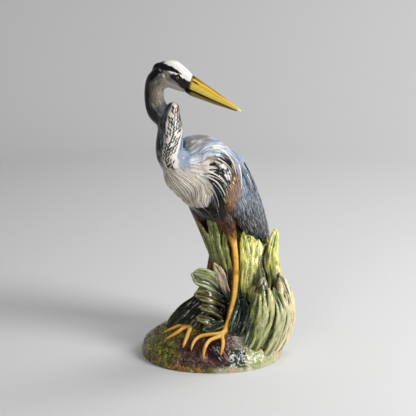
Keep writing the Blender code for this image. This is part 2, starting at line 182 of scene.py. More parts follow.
def thrown(name, rings):
    """A closed mesh from rings of points in millimetres, with a pole at each end."""
    count, sides = rings.shape[:2]
    points = np.vstack([rings.reshape(-1, 3), rings[0].mean(0), rings[-1].mean(0)]) * MM
    ring = np.arange(count - 1)[:, None] * sides
    step = np.arange(sides)[None]
    after = (step + 1) % sides
    quads = np.stack([ring + step, ring + after, ring + sides + after, ring + sides + step], -1)
    step, after = step[0], after[0]
    first = np.full(sides, count * sides)
    caps = [*np.stack([after, step, first], 1).tolist(),
            *np.stack([step + (count - 1) * sides, after + (count - 1) * sides, first + 1], 1).tolist()]
    mesh = bpy.data.meshes.new(name)
    mesh.from_pydata(points.tolist(), [], quads.reshape(-1, 4).tolist() + caps)
    piece = bpy.data.objects.new(name, mesh)
    bpy.context.scene.collection.objects.link(piece)
    faced_out(piece)
    return piece


def round_thrown(count, sides):
    """The cosine and sine of the way round, for each point of a thrown body: 0 at its poles."""
    angle = 2 * np.pi * np.arange(sides) / sides
    return [np.append(np.tile(wave(angle), count), [0, 0]) for wave in (np.cos, np.sin)]


def per_ring(values, sides, *poles):
    """A number for each ring and pole of a thrown body, for each of its points."""
    return np.append(np.repeat(values, sides), poles)


def faced_out(piece):
    chosen(piece)
    bpy.ops.object.mode_set(mode="EDIT")
    bpy.ops.mesh.select_all(action="SELECT")
    bpy.ops.mesh.normals_make_consistent(inside=False)
    bpy.ops.object.mode_set(mode="OBJECT")
    piece.data.shade_smooth()


def joined(name, pieces):
    chosen(*pieces)
    bpy.ops.object.join()
    piece = bpy.context.object
    piece.name = piece.data.name = name
    return piece


def points_of(piece):
    """The mesh's points in millimetres."""
    flat = np.empty(len(piece.data.vertices) * 3)
    piece.data.vertices.foreach_get("co", flat)
    return flat.reshape(-1, 3) / MM


def normals_of(piece):
    flat = np.empty(len(piece.data.vertices) * 3)
    piece.data.vertices.foreach_get("normal", flat)
    return flat.reshape(-1, 3)


def moved_to(piece, places):
    """Puts each point at its place in millimetres."""
    piece.data.vertices.foreach_set("co", (places * MM).ravel())
    piece.data.update()


def pushed(piece, amount):
    """Moves each point along its normal by an amount in millimetres."""
    moved_to(piece, points_of(piece) + normals_of(piece) * amount[:, None])


def stood(piece, lowest):
    """Presses the piece flat where it would go below this height."""
    places = points_of(piece)
    places[:, 2] = np.maximum(places[:, 2], lowest)
    moved_to(piece, places)


def hollows(piece, rounds):
    """How deep each point lies in a hollow, in millimetres: negative on a ridge."""
    smooth = piece.copy()
    smooth.data = piece.data.copy()
    bpy.context.scene.collection.objects.link(smooth)
    applied(smooth, "SMOOTH", factor=0.5, iterations=rounds)
    depth = np.einsum("ij,ij->i", points_of(smooth) - points_of(piece), normals_of(piece))
    bpy.data.meshes.remove(smooth.data)
    return depth


def numbers_of(piece, name):
    """A stored number or linear colour per point."""
    field = piece.data.attributes[name]
    flat = np.empty(len(field.data) * (4 if field.data_type == "FLOAT_COLOR" else 1), np.float32)
    field.data.foreach_get("color" if field.data_type == "FLOAT_COLOR" else "value", flat)
    flat = flat.astype(float)
    return flat.reshape(-1, 4)[:, :3] if field.data_type == "FLOAT_COLOR" else flat


def thinned(piece, most=190000):
    """Merges the flattest triangles until this many are left."""
    count = sum(len(face.vertices) - 2 for face in piece.data.polygons)
    if count > most:
        applied(piece, "DECIMATE", ratio=most / count)


def fused(name, pieces, rounds):
    """Presses overlapping bodies of clay into one, with the numbers of the four nearest old points."""
    piece = joined(name, pieces)
    old = {field: numbers_of(piece, field) for field in ("wash", "pool", "rim", "across", "along")}
    places = points_of(piece)
    tree = KDTree(len(places))
    for index, place in enumerate(places):
        tree.insert(place, index)
    tree.balance()
    applied(piece, "REMESH", mode="VOXEL", voxel_size=CLAY_VOXEL, use_smooth_shade=True)
    applied(piece, "SMOOTH", factor=0.5, iterations=rounds)
    found = [tree.find_n(place, 4) for place in points_of(piece)]
    near = np.array([[hit[1] for hit in hits] for hits in found])
    share = 1 / (np.array([[hit[2] for hit in hits] for hits in found]) + 0.15)
    share /= share.sum(1, keepdims=True)
    return piece, {field: np.einsum("pn,pn...->p...", share, values[near]) for field, values in old.items()}


def keep_numbers(piece, **fields):
    """Stores one number per point."""
    for name, values in fields.items():
        made = piece.data.attributes.new(name, "FLOAT", "POINT")
        made.data.foreach_set("value", np.asarray(values, np.float32))


def keep_colour(piece, name, colour):
    """Stores one linear colour per point."""
    made = piece.data.attributes.new(name, "FLOAT_COLOR", "POINT")
    made.data.foreach_set("color", np.hstack([colour, np.ones((len(colour), 1))]).astype(np.float32).ravel())


def keep_flow(piece, across, along):
    """A UV map in metres: across and along the way the brush went."""
    layer = piece.data.uv_layers.new(name="flow")
    corner = np.empty(len(piece.data.loops), np.int32)
    piece.data.loops.foreach_get("vertex_index", corner)
    layer.data.foreach_set("uv", (np.stack([across[corner], along[corner]], 1) * MM).ravel())


def laid(colour, *layers):
    """Other glazes brushed over a colour in turn, each as thick as its mask says."""
    if isinstance(colour, str):
        colour = linear(colour)
    for glaze, mask in layers:
        colour = colour + (linear(glaze) - colour) * np.clip(mask, 0, 1)[:, None]
    return colour


def within(places, outline, wobble=0.0):
    """Signed distance in millimetres to a closed outline on the front elevation: negative inside."""
    outline = np.array(outline, float)
    best = np.full(len(places), 1e9)
    inside = np.zeros(len(places), bool)
    x, z = places[:, 0], places[:, 1]
    for a, b in zip(outline, np.roll(outline, -1, 0)):
        step = b - a
        t = np.clip((places - a) @ step / (step @ step), 0, 1)
        best = np.minimum(best, np.linalg.norm(places - a - t[:, None] * step, axis=1))
        edge = (b[0] - a[0]) * (z - a[1]) / (b[1] - a[1] + 1e-9) + a[0]
        inside ^= ((a[1] > z) != (b[1] > z)) & (x < edge)
    return np.where(inside, -best, best) + wobble


def brushed(places, route, root, tip):
    """Signed distance in millimetres to a tapering brush stroke: negative inside."""
    route = through(np.array(route, float), 4)
    reached = route_length(route)
    best = np.full(len(places), 99.0)
    low, high = route.min(0) - 12, route.max(0) + 12
    near = np.all((places > low) & (places < high), axis=1)
    some = places[near]
    found = np.full(len(some), 99.0)
    for a, b, start in zip(route, route[1:], reached):
        step = b - a
        t = np.clip((some - a) @ step / (step @ step), 0, 1)
        width = root + (tip - root) * (start + t * np.linalg.norm(step)) / reached[-1]
        found = np.minimum(found, np.linalg.norm(some - a - t[:, None] * step, axis=1) - width)
    best[near] = found
    return best


# ---------------------------------------------------------------- glazes

BAND = 2 * math.pi / 20              # how far apart a wave texture's bands are at a scale of 1
LINES_APART = 3.3                    # the combed lines on the breast
SCUTES_APART = 3.4                   # the scutes on the legs and toes
BLED = (0.35, -0.35)                 # a stroke fades out over this distance to its edge, in millimetres


def add(tree, kind, feeds, out=0, **settings):
    """Adds one node with its settings and what feeds its inputs, and returns one of its outputs."""
    made = tree.nodes.new("ShaderNode" + kind)
    for name, value in settings.items():
        setattr(made, name, value)
    for socket, value in feeds.items():
        if isinstance(value, bpy.types.NodeSocket):
            tree.links.new(value, made.inputs[socket])
        else:
            made.inputs[socket].default_value = value
    return made.outputs[out] if made.outputs else None


def tint(hex_colour):
    return (*linear(hex_colour), 1.0)


def mixed_glazes(name, clay=(), strokes=(), fields=()):
    """Starts a material. Returns it, its tree and its patterns.

    These are mottling over the clay, each so many millimetres across, then streaks so many millimetres across
    and along the way the brush went, with their detail, and then the numbers stored on the piece.
    """
    material = bpy.data.materials.new(name)
    material.use_nodes = True
    tree = material.node_tree
    tree.nodes.clear()
    patterns = []
    for size in clay:
        place = add(tree, "TexCoord", {}, out="Object")
        patterns.append(add(tree, "TexNoise", {"Vector": place, "Scale": 1 / (size * MM), "Detail": 3.0}))
    for across, along, detail in strokes:
        flow = add(tree, "UVMap", {}, uv_map="flow")
        drawn = add(tree, "Mapping", {"Vector": flow, "Scale": (1 / (across * MM), 1 / (along * MM), 1)})
        patterns.append(add(tree, "TexNoise", {"Vector": drawn, "Scale": 1.0, "Detail": detail}))
    for field in fields:
        patterns.append(add(tree, "Attribute", {}, out="Fac", attribute_name=field))
    return material, tree, *patterns


def glazed_over(tree, colour, *layers):
    """Lays glazes over a colour.

    Each has its tint, how it blends, its share, a pattern, the values between which the pattern takes it from
    none to all, and a mask. With None for the values, the pattern is taken as it is.
    """
    for glaze, blend, share, pattern, limits, mask in layers:
        low, high = limits or (0, 1)
        thick = add(tree, "MapRange", {"Value": pattern, "From Min": low, "From Max": high, "To Max": share},
                    interpolation_type="SMOOTHSTEP" if limits else "LINEAR", clamp=False)
        if mask:
            thick = add(tree, "Math", {0: thick, 1: mask}, operation="MULTIPLY")
        colour = add(tree, "Mix", {0: thick, 6: colour, 7: tint(glaze)}, out=2, data_type="RGBA",
                     blend_type=blend)
    return colour


def fired(tree, colour, height, depth, strength=1.0, roughness=0.2, coat=0.6, crackle=None,
          crackle_share=0.0):
    """Lead-glazed earthenware: coloured glaze under thin hard glass, on clay with a relief in millimetres.

    The net of fine cracks in an old glaze is drawn coarse enough to show.
    """
    if crackle:
        place = add(tree, "TexCoord", {}, out="Object")
        net = add(tree, "TexVoronoi", {"Vector": place, "Scale": 1 / (crackle * MM)},
                  feature="DISTANCE_TO_EDGE")
        colour = glazed_over(tree, colour, ("#3a3026", "MIX", crackle_share, net, (0.03, 0.0), None))
    bump = add(tree, "Bump", {"Height": height, "Distance": depth * MM, "Strength": strength})
    shader = add(tree, "BsdfPrincipled", {"Base Color": colour, "Normal": bump, "Roughness": roughness,
                                          "Specular IOR Level": 0.08, "IOR": 1.5, "Coat Weight": coat,
                                          "Coat Roughness": 0.07, "Coat IOR": 1.5})
    add(tree, "OutputMaterial", {"Surface": shader})


def plumage_glaze():
    """Tin-white, slate and black glazes brushed wet on wet, then a clear glass: soft edges, deep gloss."""
    material, tree, cloud, drops, fine, streak, hairs, wide, brushed_on, winged, grain, scuted, ink, hair = \
        mixed_glazes("brushed_plumage_glaze", (7, 1.8), ((1.1, 16, 2), (2.6, 34, 2), (1.5, 9, 1), (5, 40, 2)),
                     ("brushed", "winged", "grain", "scuted", "ink", "hair"))
    wash = add(tree, "Attribute", {}, attribute_name="wash")

    # Combed lines on the breast, and scutes on the legs and toes.
    flow = add(tree, "UVMap", {}, uv_map="flow")
    drawn = add(tree, "Mapping", {"Vector": flow, "Scale": (1.0, 0.25, 1.0)})
    wave = add(tree, "TexWave", {"Vector": drawn, "Scale": BAND / (LINES_APART * MM), "Distortion": 3.0,
                                 "Detail": 1.0, "Detail Scale": 20.0}, out="Fac")
    scute = add(tree, "TexWave", {"Vector": flow, "Scale": BAND / (SCUTES_APART * MM), "Distortion": 3.0,
                                  "Detail Scale": 60.0}, out="Fac", bands_direction="Y")
    lined = add(tree, "MapRange", {"Value": wide, "From Min": 0.32, "From Max": 0.55},
                interpolation_type="SMOOTHSTEP")
    lined = add(tree, "Math", {0: grain, 1: lined}, operation="MULTIPLY")

    # The strokes laid on last bleed a little at their edges, the black more than the white.
    bleed = add(tree, "Math", {0: drops, 1: 0.5}, operation="SUBTRACT")
    ink = add(tree, "Math", {0: ink, 1: bleed}, operation="ADD")
    hair = add(tree, "Math", {0: bleed, 1: 0.3, 2: hair}, operation="MULTIPLY_ADD")
    colour = glazed_over(
        tree, wash,
        ("#7d8592", "MULTIPLY", 0.5, fine, (0.5, 0.7), brushed_on),
        ("#d6dce2", "MIX", 0.34, streak, (0.5, 0.3), brushed_on),
        ("#23262c", "MIX", 0.6, hairs, (0.53, 0.62), winged),
        ("#b7bfc9", "MIX", 0.4, hairs, (0.43, 0.36), winged),
        ("#8a8378", "MULTIPLY", 0.22, cloud, None, None),
        ("#65584a", "MIX", 0.65, wave, (0.40, 0.05), lined),
        ("#fbf6ec", "MIX", 0.6, wave, (0.55, 0.9), lined),
        ("#7c4a18", "MIX", 0.28, scute, (0.16, 0.02), scuted),
        ("#15151a", "MIX", 1.0, ink, BLED, None),
        ("#e9e4d6", "MIX", 0.92, hair, BLED, None))

    # Brush marks, combed lines and scutes stand in relief, and the gloss is uneven.
    rough = add(tree, "MapRange", {"Value": cloud, "To Min": 0.2, "To Max": 0.4})
    height = add(tree, "Math", {0: fine, 1: brushed_on}, operation="MULTIPLY")
    height = add(tree, "Math", {0: wave, 1: grain, 2: height}, operation="MULTIPLY_ADD")
    ring = add(tree, "Math", {0: scute, 1: scuted}, operation="MULTIPLY")
    height = add(tree, "Math", {0: ring, 1: 0.25, 2: height}, operation="MULTIPLY_ADD")
    fired(tree, colour, height, 0.5, 0.8, roughness=rough, coat=0.3, crackle=5.5, crackle_share=0.11)
    return material


def leaf_glaze(name, heavy="#5a6b3a", thin="#dcd79a", clouded="#3b4a22"):
    """Glazes run together: thin and pale on the ribs, pooled dark in the hollows, where the near-black is
    partly painted shade.
    """
    material, tree, cloud, speck, runs, striped, ridge, pool, rim = mixed_glazes(
        name, (9, 1.7), ((1.6, 14, 3),), ("striped", "thin", "pool", "rim"))
    wash = add(tree, "Attribute", {}, attribute_name="wash")
    colour = glazed_over(
        tree, wash,
        (heavy, "MULTIPLY", 0.7, runs, (0.48, 0.68), striped),
        (thin, "MIX", 0.4, runs, (0.42, 0.25), striped),
        (clouded, "MIX", 0.4, cloud, (0.55, 0.8), None),
        (thin, "MIX", 0.35, ridge, None, None),
        ("#0a0f0c", "MIX", 0.95, pool, None, None),
        ("#6a4522", "MIX", 0.9, rim, None, None),
        ("#2b3014", "MIX", 0.35, speck, (0.62, 0.75), None))
    height = add(tree, "Math", {0: runs, 1: striped}, operation="MULTIPLY")
    height = add(tree, "Math", {0: speck, 1: 0.35, 2: height}, operation="MULTIPLY_ADD")
    fired(tree, colour, height, 0.6, 0.9, roughness=0.14, coat=0.65, crackle=4.5, crackle_share=0.15)
    return material


def moss_glaze():
    """Sponged moss: green, yellow, brown and near-black glazes dabbed over rough clay."""
    material, tree, dab, speck, grit, mossy, pool = mixed_glazes(
        "sponged_moss_glaze", (8, 4.2, 2.4), fields=("mossy", "pool"))
    wash = add(tree, "Attribute", {}, attribute_name="wash")
    colour = glazed_over(
        tree, wash,
        ("#6f7426", "MIX", 0.75, dab, (0.5, 0.62), mossy),
        ("#2a2d14", "MIX", 0.85, speck, (0.56, 0.68), mossy),
        ("#c6ba54", "MIX", 0.7, speck, (0.42, 0.30), mossy),
        ("#7a4a24", "MIX", 0.6, grit, (0.62, 0.72), mossy),
        ("#0f1616", "MIX", 0.92, pool, None, None))
    height = add(tree, "Math", {0: grit, 1: 0.5, 2: speck}, operation="MULTIPLY_ADD")
    fired(tree, colour, height, 1.5, crackle=4.0, crackle_share=0.12)
    return material


def bill_glaze():
    """Bright yellow glaze over brown: the brown shows along the ridge, the gape and the grooves."""
    material, tree, fine, ink = mixed_glazes("yellow_bill_glaze", strokes=((0.8, 22, 3),), fields=("ink",))
    wash = add(tree, "Attribute", {}, attribute_name="wash")
    bleed = add(tree, "Math", {0: fine, 1: 0.5}, operation="SUBTRACT")
    ink = add(tree, "Math", {0: bleed, 1: 0.8, 2: ink}, operation="MULTIPLY_ADD")
    colour = glazed_over(
        tree, wash,
        ("#b98a2c", "MULTIPLY", 0.45, fine, (0.52, 0.7), None),
        ("#2c1f10", "MIX", 1.0, ink, BLED, None))
    fired(tree, colour, fine, 0.35, 0.7, roughness=0.22)
    return material


def eye_glaze():
    """A dot of clear glass over a painted iris, with a black pupil and a black rim."""
    material, tree, vein, out = mixed_glazes("eye_glass_glaze", (0.8,), fields=("from_pupil",))
    colour = glazed_over(
        tree, tint("#8a6a2c"),
        ("#4e3c1a", "MIX", 1.0, vein, None, None),
        ("#0b0b0c", "MIX", 1.0, out, (1.8, 1.5), None),
        ("#14120f", "MIX", 1.0, out, (2.3, 2.7), None))
    fired(tree, colour, vein, 0.05, 0.3, roughness=0.08, coat=1.0)
    return material


def studio_paper():
    """Matt grey paper with a faint tooth."""
    material, tree, tooth = mixed_glazes("studio_paper", (2.0,))
    bump = add(tree, "Bump", {"Height": tooth, "Distance": 0.05 * MM, "Strength": 0.2})
    shader = add(tree, "BsdfPrincipled", {"Base Color": tint("#d6d6d6"), "Normal": bump, "Roughness": 0.9,
                                          "Specular IOR Level": 0.15})
    add(tree, "OutputMaterial", {"Surface": shader})
    return material


# ---------------------------------------------------------------- the bird's shape
# In the bird's own frame: forward, left, up, then half width and half depth.

TRUNK = [
    [86, 0, 333, 19, 17], [70, 0, 322, 29, 36], [48, 0, 323, 38, 55], [18, 0, 311, 43, 60],
    [-6, 0, 286, 43, 56], [-25, 0, 262, 39, 48], [-46, 0, 238, 31, 37], [-72, 0, 213, 22, 24],
    [-94, 0, 192, 14, 14],
]
WING = [
    [48, 33, 345, 9, 16], [30, 39, 335, 12, 30], [4, 43, 313, 13, 39], [-22, 42, 282, 13, 35],
    [-48, 36, 246, 12, 32], [-74, 28, 214, 10, 26], [-98, 19, 190, 8, 17], [-112, 13, 175, 6, 9],
]
TAIL = [[-70, 0, 206, 16, 12], [-96, 0, 182, 15, 7], [-120, 0, 160, 13, 5]]
THIGHS = {
    "left": [[-6, 17, 248, 21], [-12, 21, 228, 15.5], [-17.5, 25, 210, 10.5], [-19.5, 28.7, 196, 7.4],
             [-20.5, 30.7, 186, 6.1]],
    "right": [[4, -20, 250, 25], [0, -23, 229, 18], [-2, -24, 212, 12], [-8, -22, 194, 7.2],
              [-12, -19, 180, 5.8]],
}
SHANKS = {
    "left": [[-20.5, 31.7, 184, 5.7], [-20.5, 34.7, 167, 5.9], [-20.5, 36.7, 152, 6.1],
             [-18.5, 37.7, 142, 6.7], [-16.5, 39.7, 132, 6.1], [-7, 47, 105, 5.3], [4, 52, 84, 4.4],
             [13, 56, 68, 4.0], [24, 59, 54, 4.0]],
    "right": [[-13, -18, 178, 5.2], [-12, -17, 159, 5.4], [-9, -16, 143, 6.2], [-3, -14, 128, 5.5],
              [7, -12, 111, 4.9], [28, -4, 82, 4.3], [51, 9, 58, 4.0]],
}
TOES = {  # heel, then each toe over its knuckles to the claw
    "left": ((29, 60, 50), ((43, 57, 51), (61, 45, 49), (73, 43, 45), (84, 48, 40), (89, 51, 33)),
             ((43, 66, 49), (63, 67, 48), (76, 71, 41), (81, 73, 31), (82, 75, 22)),
             ((38, 70, 48), (47, 82, 43), (55, 88, 35), (59, 90, 27)),
             ((20, 60, 52), (10, 57, 51), (2, 54, 50))),
    "right": ((57, 11, 54), ((66, -7, 53), (78, -15, 48), (89, -25, 40)),
              ((68, 5, 53), (80, 4, 48), (91, -2, 41), (104, -13, 30)),
              ((68, 19, 51), (80, 27, 44), (89, 32, 37), (93, 35, 31)),
              ((49, 14, 56), (41, 17, 56))),
}
TOE_RADIUS = 3.7
NECK_LOWER = [
    [56, 0, 328, 25, 25], [75, 0, 335, 25, 25], [91, 1, 352, 21.5, 21.5], [93, 3, 368, 21.5, 22],
    [92, 4, 386, 20.5, 21], [91, 3, 404, 18.5, 19], [88, 3, 419, 13.5, 14], [85, 4, 428, 9.5, 10],
]
NECK_UPPER = [
    [90, -2, 407, 15, 15], [95, -9, 412, 17, 17], [99, -18, 421, 17.5, 17.5], [102, -23, 436, 16, 16],
    [102, -23, 453, 15.5, 15.5], [99, -20, 467, 17, 17], [92, -14, 476, 19, 17],
]
HEAD = [  # along the bill, to the left, up
    [-30, 0, -4, 12, 12.5], [-20, 0, -1.5, 16, 18.5], [-8, 0, 0.5, 17, 22], [6, 0, 0, 15, 20],
    [18, 0, -1, 12, 17], [25, 0, -2, 10.5, 15],
]
SHOULDER = [[82, 8, 332, 14, 14], [70, 14, 338, 15, 15], [56, 16, 343, 14, 14], [44, 15, 348, 12, 12]]
CRAW = [[60, -3, 296, 20, 20], [49, -6, 290, 21, 21], [38, -8, 286, 22, 22]]
NECK_FOLD = (96, -7, 412)            # where the neck lies back on itself
BILL_LENGTH = 95.0
BILL_DEPTH = 31.0
EYE_PLACE = (4.5, 12.6, 2.0)
EYE_RADIUS = 3.9

BIRD_TURN = np.array(Matrix.Rotation(HEADING, 3, "Z"))
HEAD_MATRIX = (Matrix.Rotation(HEADING, 4, "Z") @ Matrix.Translation((75.5, -1, 474.5))
               @ Euler((0, math.radians(25.2), math.radians(129))).to_matrix().to_4x4())
HEAD_TURN = np.array(HEAD_MATRIX.to_3x3())
HEAD_PLACE = np.array(HEAD_MATRIX.translation)


def from_bird(places):
    return places @ BIRD_TURN.T


def from_head(places):
    return places @ HEAD_TURN.T + HEAD_PLACE


def to_head(places):
    return (places - HEAD_PLACE) @ HEAD_TURN


def round_rows(rows):
    """Rows of centre and radius, as stations with equal half width and half depth."""
    return [[*row, row[3]] for row in rows]


def bird_bodies():
    """Every part of flesh and feather, as smooth overlapping bodies."""
    made = []

    def body(rows, sides, start, end, steps=6, across=(0, 1, 0), placed=from_bird):
        stations = domed(through(rows, steps), start, end)
        made.append(thrown("part", placed(rings_of(stations, sides, across))))

    body(TRUNK, 72, 0.5, 0.8)
    for side in (1, -1):
        body([[a, side * s, h, thick, broad] for a, s, h, thick, broad in WING], 56, 0.7, 0.9)
    body(TAIL, 32, 0, 0.4)
    for name in ("left", "right"):
        body(round_rows(THIGHS[name]), 32, 0.8, 0.3)
        body(round_rows(SHANKS[name]), 24, 0, 0.4)
        heel, *toes = TOES[name]
        for toe in toes:
            inside = np.array(heel) + 0.12 * (np.array(toe[0]) - heel)
            places = [inside, *toe]
            last = len(places) - 1
            rows = [[*place, TOE_RADIUS * (1.05 - 0.55 * (step / last) ** 3)]
                    for step, place in enumerate(places)]
            body(round_rows(rows), 18, 0.9, 1.2, steps=5, across=(0, 0, 1))
        body([[heel[0] + step, *heel[1:], 5.2, 5.2] for step in (-2, 2)], 18, 0.9, 0.9)
    body(SHOULDER, 32, 0.8, 0.8)
    body(CRAW, 32, 0.8, 0.8)
    body(NECK_LOWER, 56, 0.6, 0.75)
    body(NECK_UPPER, 48, 0, 0.5, across=(1, 0, 0))
    body(HEAD, 48, 0.8, 0, placed=from_head)
    return made


# The lines that the plumage is combed and brushed along, on the front elevation of the bird's left half:
# millimetres across the flow, then the line's points as (sideways, up). The right half mirrors them.
PLUME_LINES = (
    (0, ((-83, 329), (-72, 306), (-58, 287), (-42, 267), (-33, 249))),
    (5, ((-73, 322), (-66, 307), (-55, 292), (-46, 274))),
    (17, ((-68, 327), (-54, 314), (-40, 299), (-34, 285), (-32, 273))),
    (29, ((-63, 331), (-43, 316), (-27, 302), (-22, 287), (-24, 273))),
    (41, ((-59, 334), (-32, 318), (-14, 302), (-7, 282), (-10, 267))),
    (50, ((-51, 335), (-26, 320), (-7, 297), (4, 268), (11, 238))),
    (64, ((-46, 337), (-34, 327), (-14, 319), (6, 307), (19, 287), (26, 262), (32, 225))),
    (80, ((-48, 343), (-26, 333), (-5, 334), (11, 324), (23, 307), (33, 275), (42, 235))),
    (96, ((-55, 356), (-48, 340), (-34, 341), (-18, 345), (-4, 353), (13, 350), (28, 337), (36, 320),
          (41, 295), (45, 270), (56, 225))),
    (110, ((-50, 366), (-45, 353), (-33, 350), (-16, 358), (5, 359), (28, 347), (44, 324), (56, 294),
           (65, 257), (75, 216))),
    (124, ((-46, 366), (-37, 370), (-21, 377), (-2, 375), (18, 366), (36, 350), (54, 322), (72, 277),
           (87, 234), (99, 187))),
)


def combed(chart):
    """Across and along the plumage, in millimetres, for places on the front elevation."""
    knots, values = [], []
    for across, line in PLUME_LINES:
        line = np.array(line, float)
        knots += line.tolist()
        values += [[across, along] for along in route_length(line)]
    knots, values = np.array(knots), np.array(values, float)
    count = len(knots)
    apart = np.linalg.norm(knots[:, None] - knots[None], axis=2)
    flat = np.hstack([knots / 100, np.ones((count, 1))])
    system = np.block([[apart + 0.6 * np.eye(count), flat], [flat.T, np.zeros((3, 3))]])
    weights = np.linalg.solve(system, np.vstack([values, np.zeros((3, 2))]))
    near = np.linalg.norm(chart[:, None] - knots[None], axis=2)
    return np.hstack([near, chart / 100, np.ones((len(chart), 1))]) @ weights


# ---------------------------------------------------------------- the bird's painting
# Outlines and strokes on the same elevation.

BREAST = ((-100, 345), (-62, 339), (-46, 337), (-27, 324), (-13, 317), (-3, 302), (0, 286), (-6, 273),
          (-10, 262), (-26, 259), (-39, 262), (-53, 272), (-77, 300), (-100, 325))
PLUMES = ((-64, 345), (-48, 346), (-38, 337), (-20, 339), (-8, 346), (4, 346), (10, 339), (8, 326), (0, 322),
          (10, 312), (22, 296), (24, 284), (18, 290), (6, 304), (-6, 313), (-24, 322), (-45, 333), (-62, 336))
SHOULDER_BLACK = ((-3, 337), (5, 347), (14, 350), (26, 344), (36, 328), (41, 312), (38, 297), (31, 284),
                  (31, 268), (22, 258), (14, 280), (4, 300), (-8, 314), (2, 322), (8, 330))
BELLY_BLACK = ((-8, 312), (12, 300), (24, 290), (30, 272), (26, 250), (20, 232), (2, 220), (-12, 222),
               (-34, 222), (-62, 250), (-46, 266), (-26, 261), (-12, 262), (-2, 272), (4, 284), (0, 300))
RUST = ((33, 331), (39, 318), (44, 300), (45, 276), (38, 257), (28, 246), (22, 262), (25, 276), (27, 292),
        (31, 308))
WHITE_PATCH = ((-38, 344), (-24, 346), (-12, 348), (-12, 341), (-24, 337), (-38, 337))
SPOTTED = ((10, 335), (18, 336), (26, 327), (31, 314), (28, 307), (22, 312), (15, 323))
HUMP_BROWN = ((-50, 364), (-37, 374), (-20, 382), (4, 380), (-8, 368), (-28, 358), (-40, 354))

BLACK_STROKES = (  # the stroke's route, its half width at the root and at the tip
    (((3, 349), (16, 341), (28, 330), (37, 315)), 1.9, 1.3),
    (((13, 352), (26, 344), (34, 332)), 1.6, 0.8),
    (((-5, 336), (4, 335), (10, 336)), 1.9, 0.6),
    (((-5, 328), (6, 327), (16, 321)), 1.9, 0.9),
    (((-13, 321), (1, 320), (14, 312), (23, 305)), 1.8, 1.4),
    (((21, 323), (23, 321)), 1.3, 1.0),
    (((26, 318), (27, 316)), 1.2, 0.9),
    (((17, 331), (18, 330)), 1.0, 0.8),
    (((24, 327), (25, 326)), 0.9, 0.7),
    (((51, 331), (60, 313), (68, 290), (75, 262)), 1.0, 0.5),
    (((44, 322), (53, 304), (58, 285)), 1.1, 0.4),
)
WHITE_STROKES = (
    (((-34, 328), (-12, 322), (6, 314), (16, 306)), 1.6, 1.0),
    (((-24, 316), (-10, 306), (2, 290), (8, 272), (10, 258)), 1.6, 0.9),
    (((-22, 330), (-4, 329), (6, 324)), 1.0, 0.6),
    (((10, 318), (20, 306), (27, 290)), 0.9, 0.6),
    (((0, 361), (12, 359), (25, 347), (34, 331), (38, 315)), 1.3, 1.5),
    # A painted highlight along the top of the pale sweep.
    (((-16, 354), (-8, 359), (4, 359)), 1.4, 0.9),
    (((8, 345), (19, 337), (29, 326), (33, 318)), 1.4, 0.9),
    (((3, 341), (12, 336), (22, 325)), 1.3, 0.8),
    # These three white streaks down the wing are painted highlights.
    (((42, 330), (45, 318), (47, 300), (46, 288)), 1.7, 0.9),
    (((56, 312), (62, 298), (64, 286)), 1.0, 0.5),
    (((73, 288), (78, 274)), 1.0, 0.5),
    (((-20, 320), (-4, 314), (8, 305), (18, 288), (20, 281)), 2.4, 1.4),
    (((-10, 326), (4, 320), (15, 310), (22, 299)), 2.0, 1.2),
    (((-26, 320), (-7, 298), (4, 268), (11, 238)), 0.9, 0.6),
    (((-12, 309), (3, 290), (9, 270)), 0.8, 0.5),
    (((0, 306), (12, 290), (17, 272)), 0.8, 0.5),
    (((-18, 262), (-8, 250), (0, 240)), 0.6, 0.4),
    (((-44, 268), (-32, 257), (-18, 246)), 0.8, 0.5),
    (((32, 304), (36, 298)), 1.2, 0.8),
    (((27, 299), (31, 291)), 1.0, 0.6),
    (((34, 311), (37, 306)), 1.2, 0.8),
)
# On the head, along the bill and up.
BROW = ((9.5, 9.4), (1, 10.2), (-7, 10.4), (-14, 9.8), (-22, 7.5), (-29, 2), (-34, -8))
EYE_PATCH = ((-6.5, 1), (-3, 5.6), (4, 7.2), (10, 5.4), (17, 4.6), (27, 3), (27, -10), (18, -9), (9, -5),
             (0, -3.6), (-5, -1.6))
GAPE = ((14, -8.8), (24, -8.6))


def across_scale(height):
    """The foreneck's radius at each height."""
    return np.interp(height, [330, 350, 386, 404, 419, 428], [27, 22, 20, 18, 13, 10])


def neck_strokes(across, height, middle):
    """Rows of teardrops that lean in towards the middle of the foreneck like a laid herringbone."""
    middle = middle * across_scale(height) / 20
    ink = np.full(len(across), 9.0)
    dice = np.random.RandomState(4)
    for row in range(20):
        for column in range(-3, 4):
            jitter = dice.uniform(-1, 1, 4)
            sparse = 0.3 * max(0, row - 16) + (0.5 if abs(column) == 3 else 0)
            if abs(column) > 1 + row // 3 or jitter[3] < sparse - 0.75:
                continue
            up = 426 - 5.7 * row + 2.6 * abs(column) + 0.6 * jitter[0]
            out = 4.3 * column + 0.4 * jitter[1]
            lean = np.sign(column + 0.01) * (0.45 + 0.15 * jitter[2])
            x = across - middle - out
            z = height - up
            turned_x = x * math.cos(lean) - z * math.sin(lean)
            turned_z = x * math.sin(lean) + z * math.cos(lean)
            long = 3.9 + 0.5 * jitter[3] + 0.4 * max(0, row - 15)
            wide = 1.25 - 0.1 * abs(column) + 0.2 * jitter[2]
            spindle = np.hypot(turned_x / wide, turned_z / long)
            ink = np.minimum(ink, (spindle - 1) * wide)
    return ink


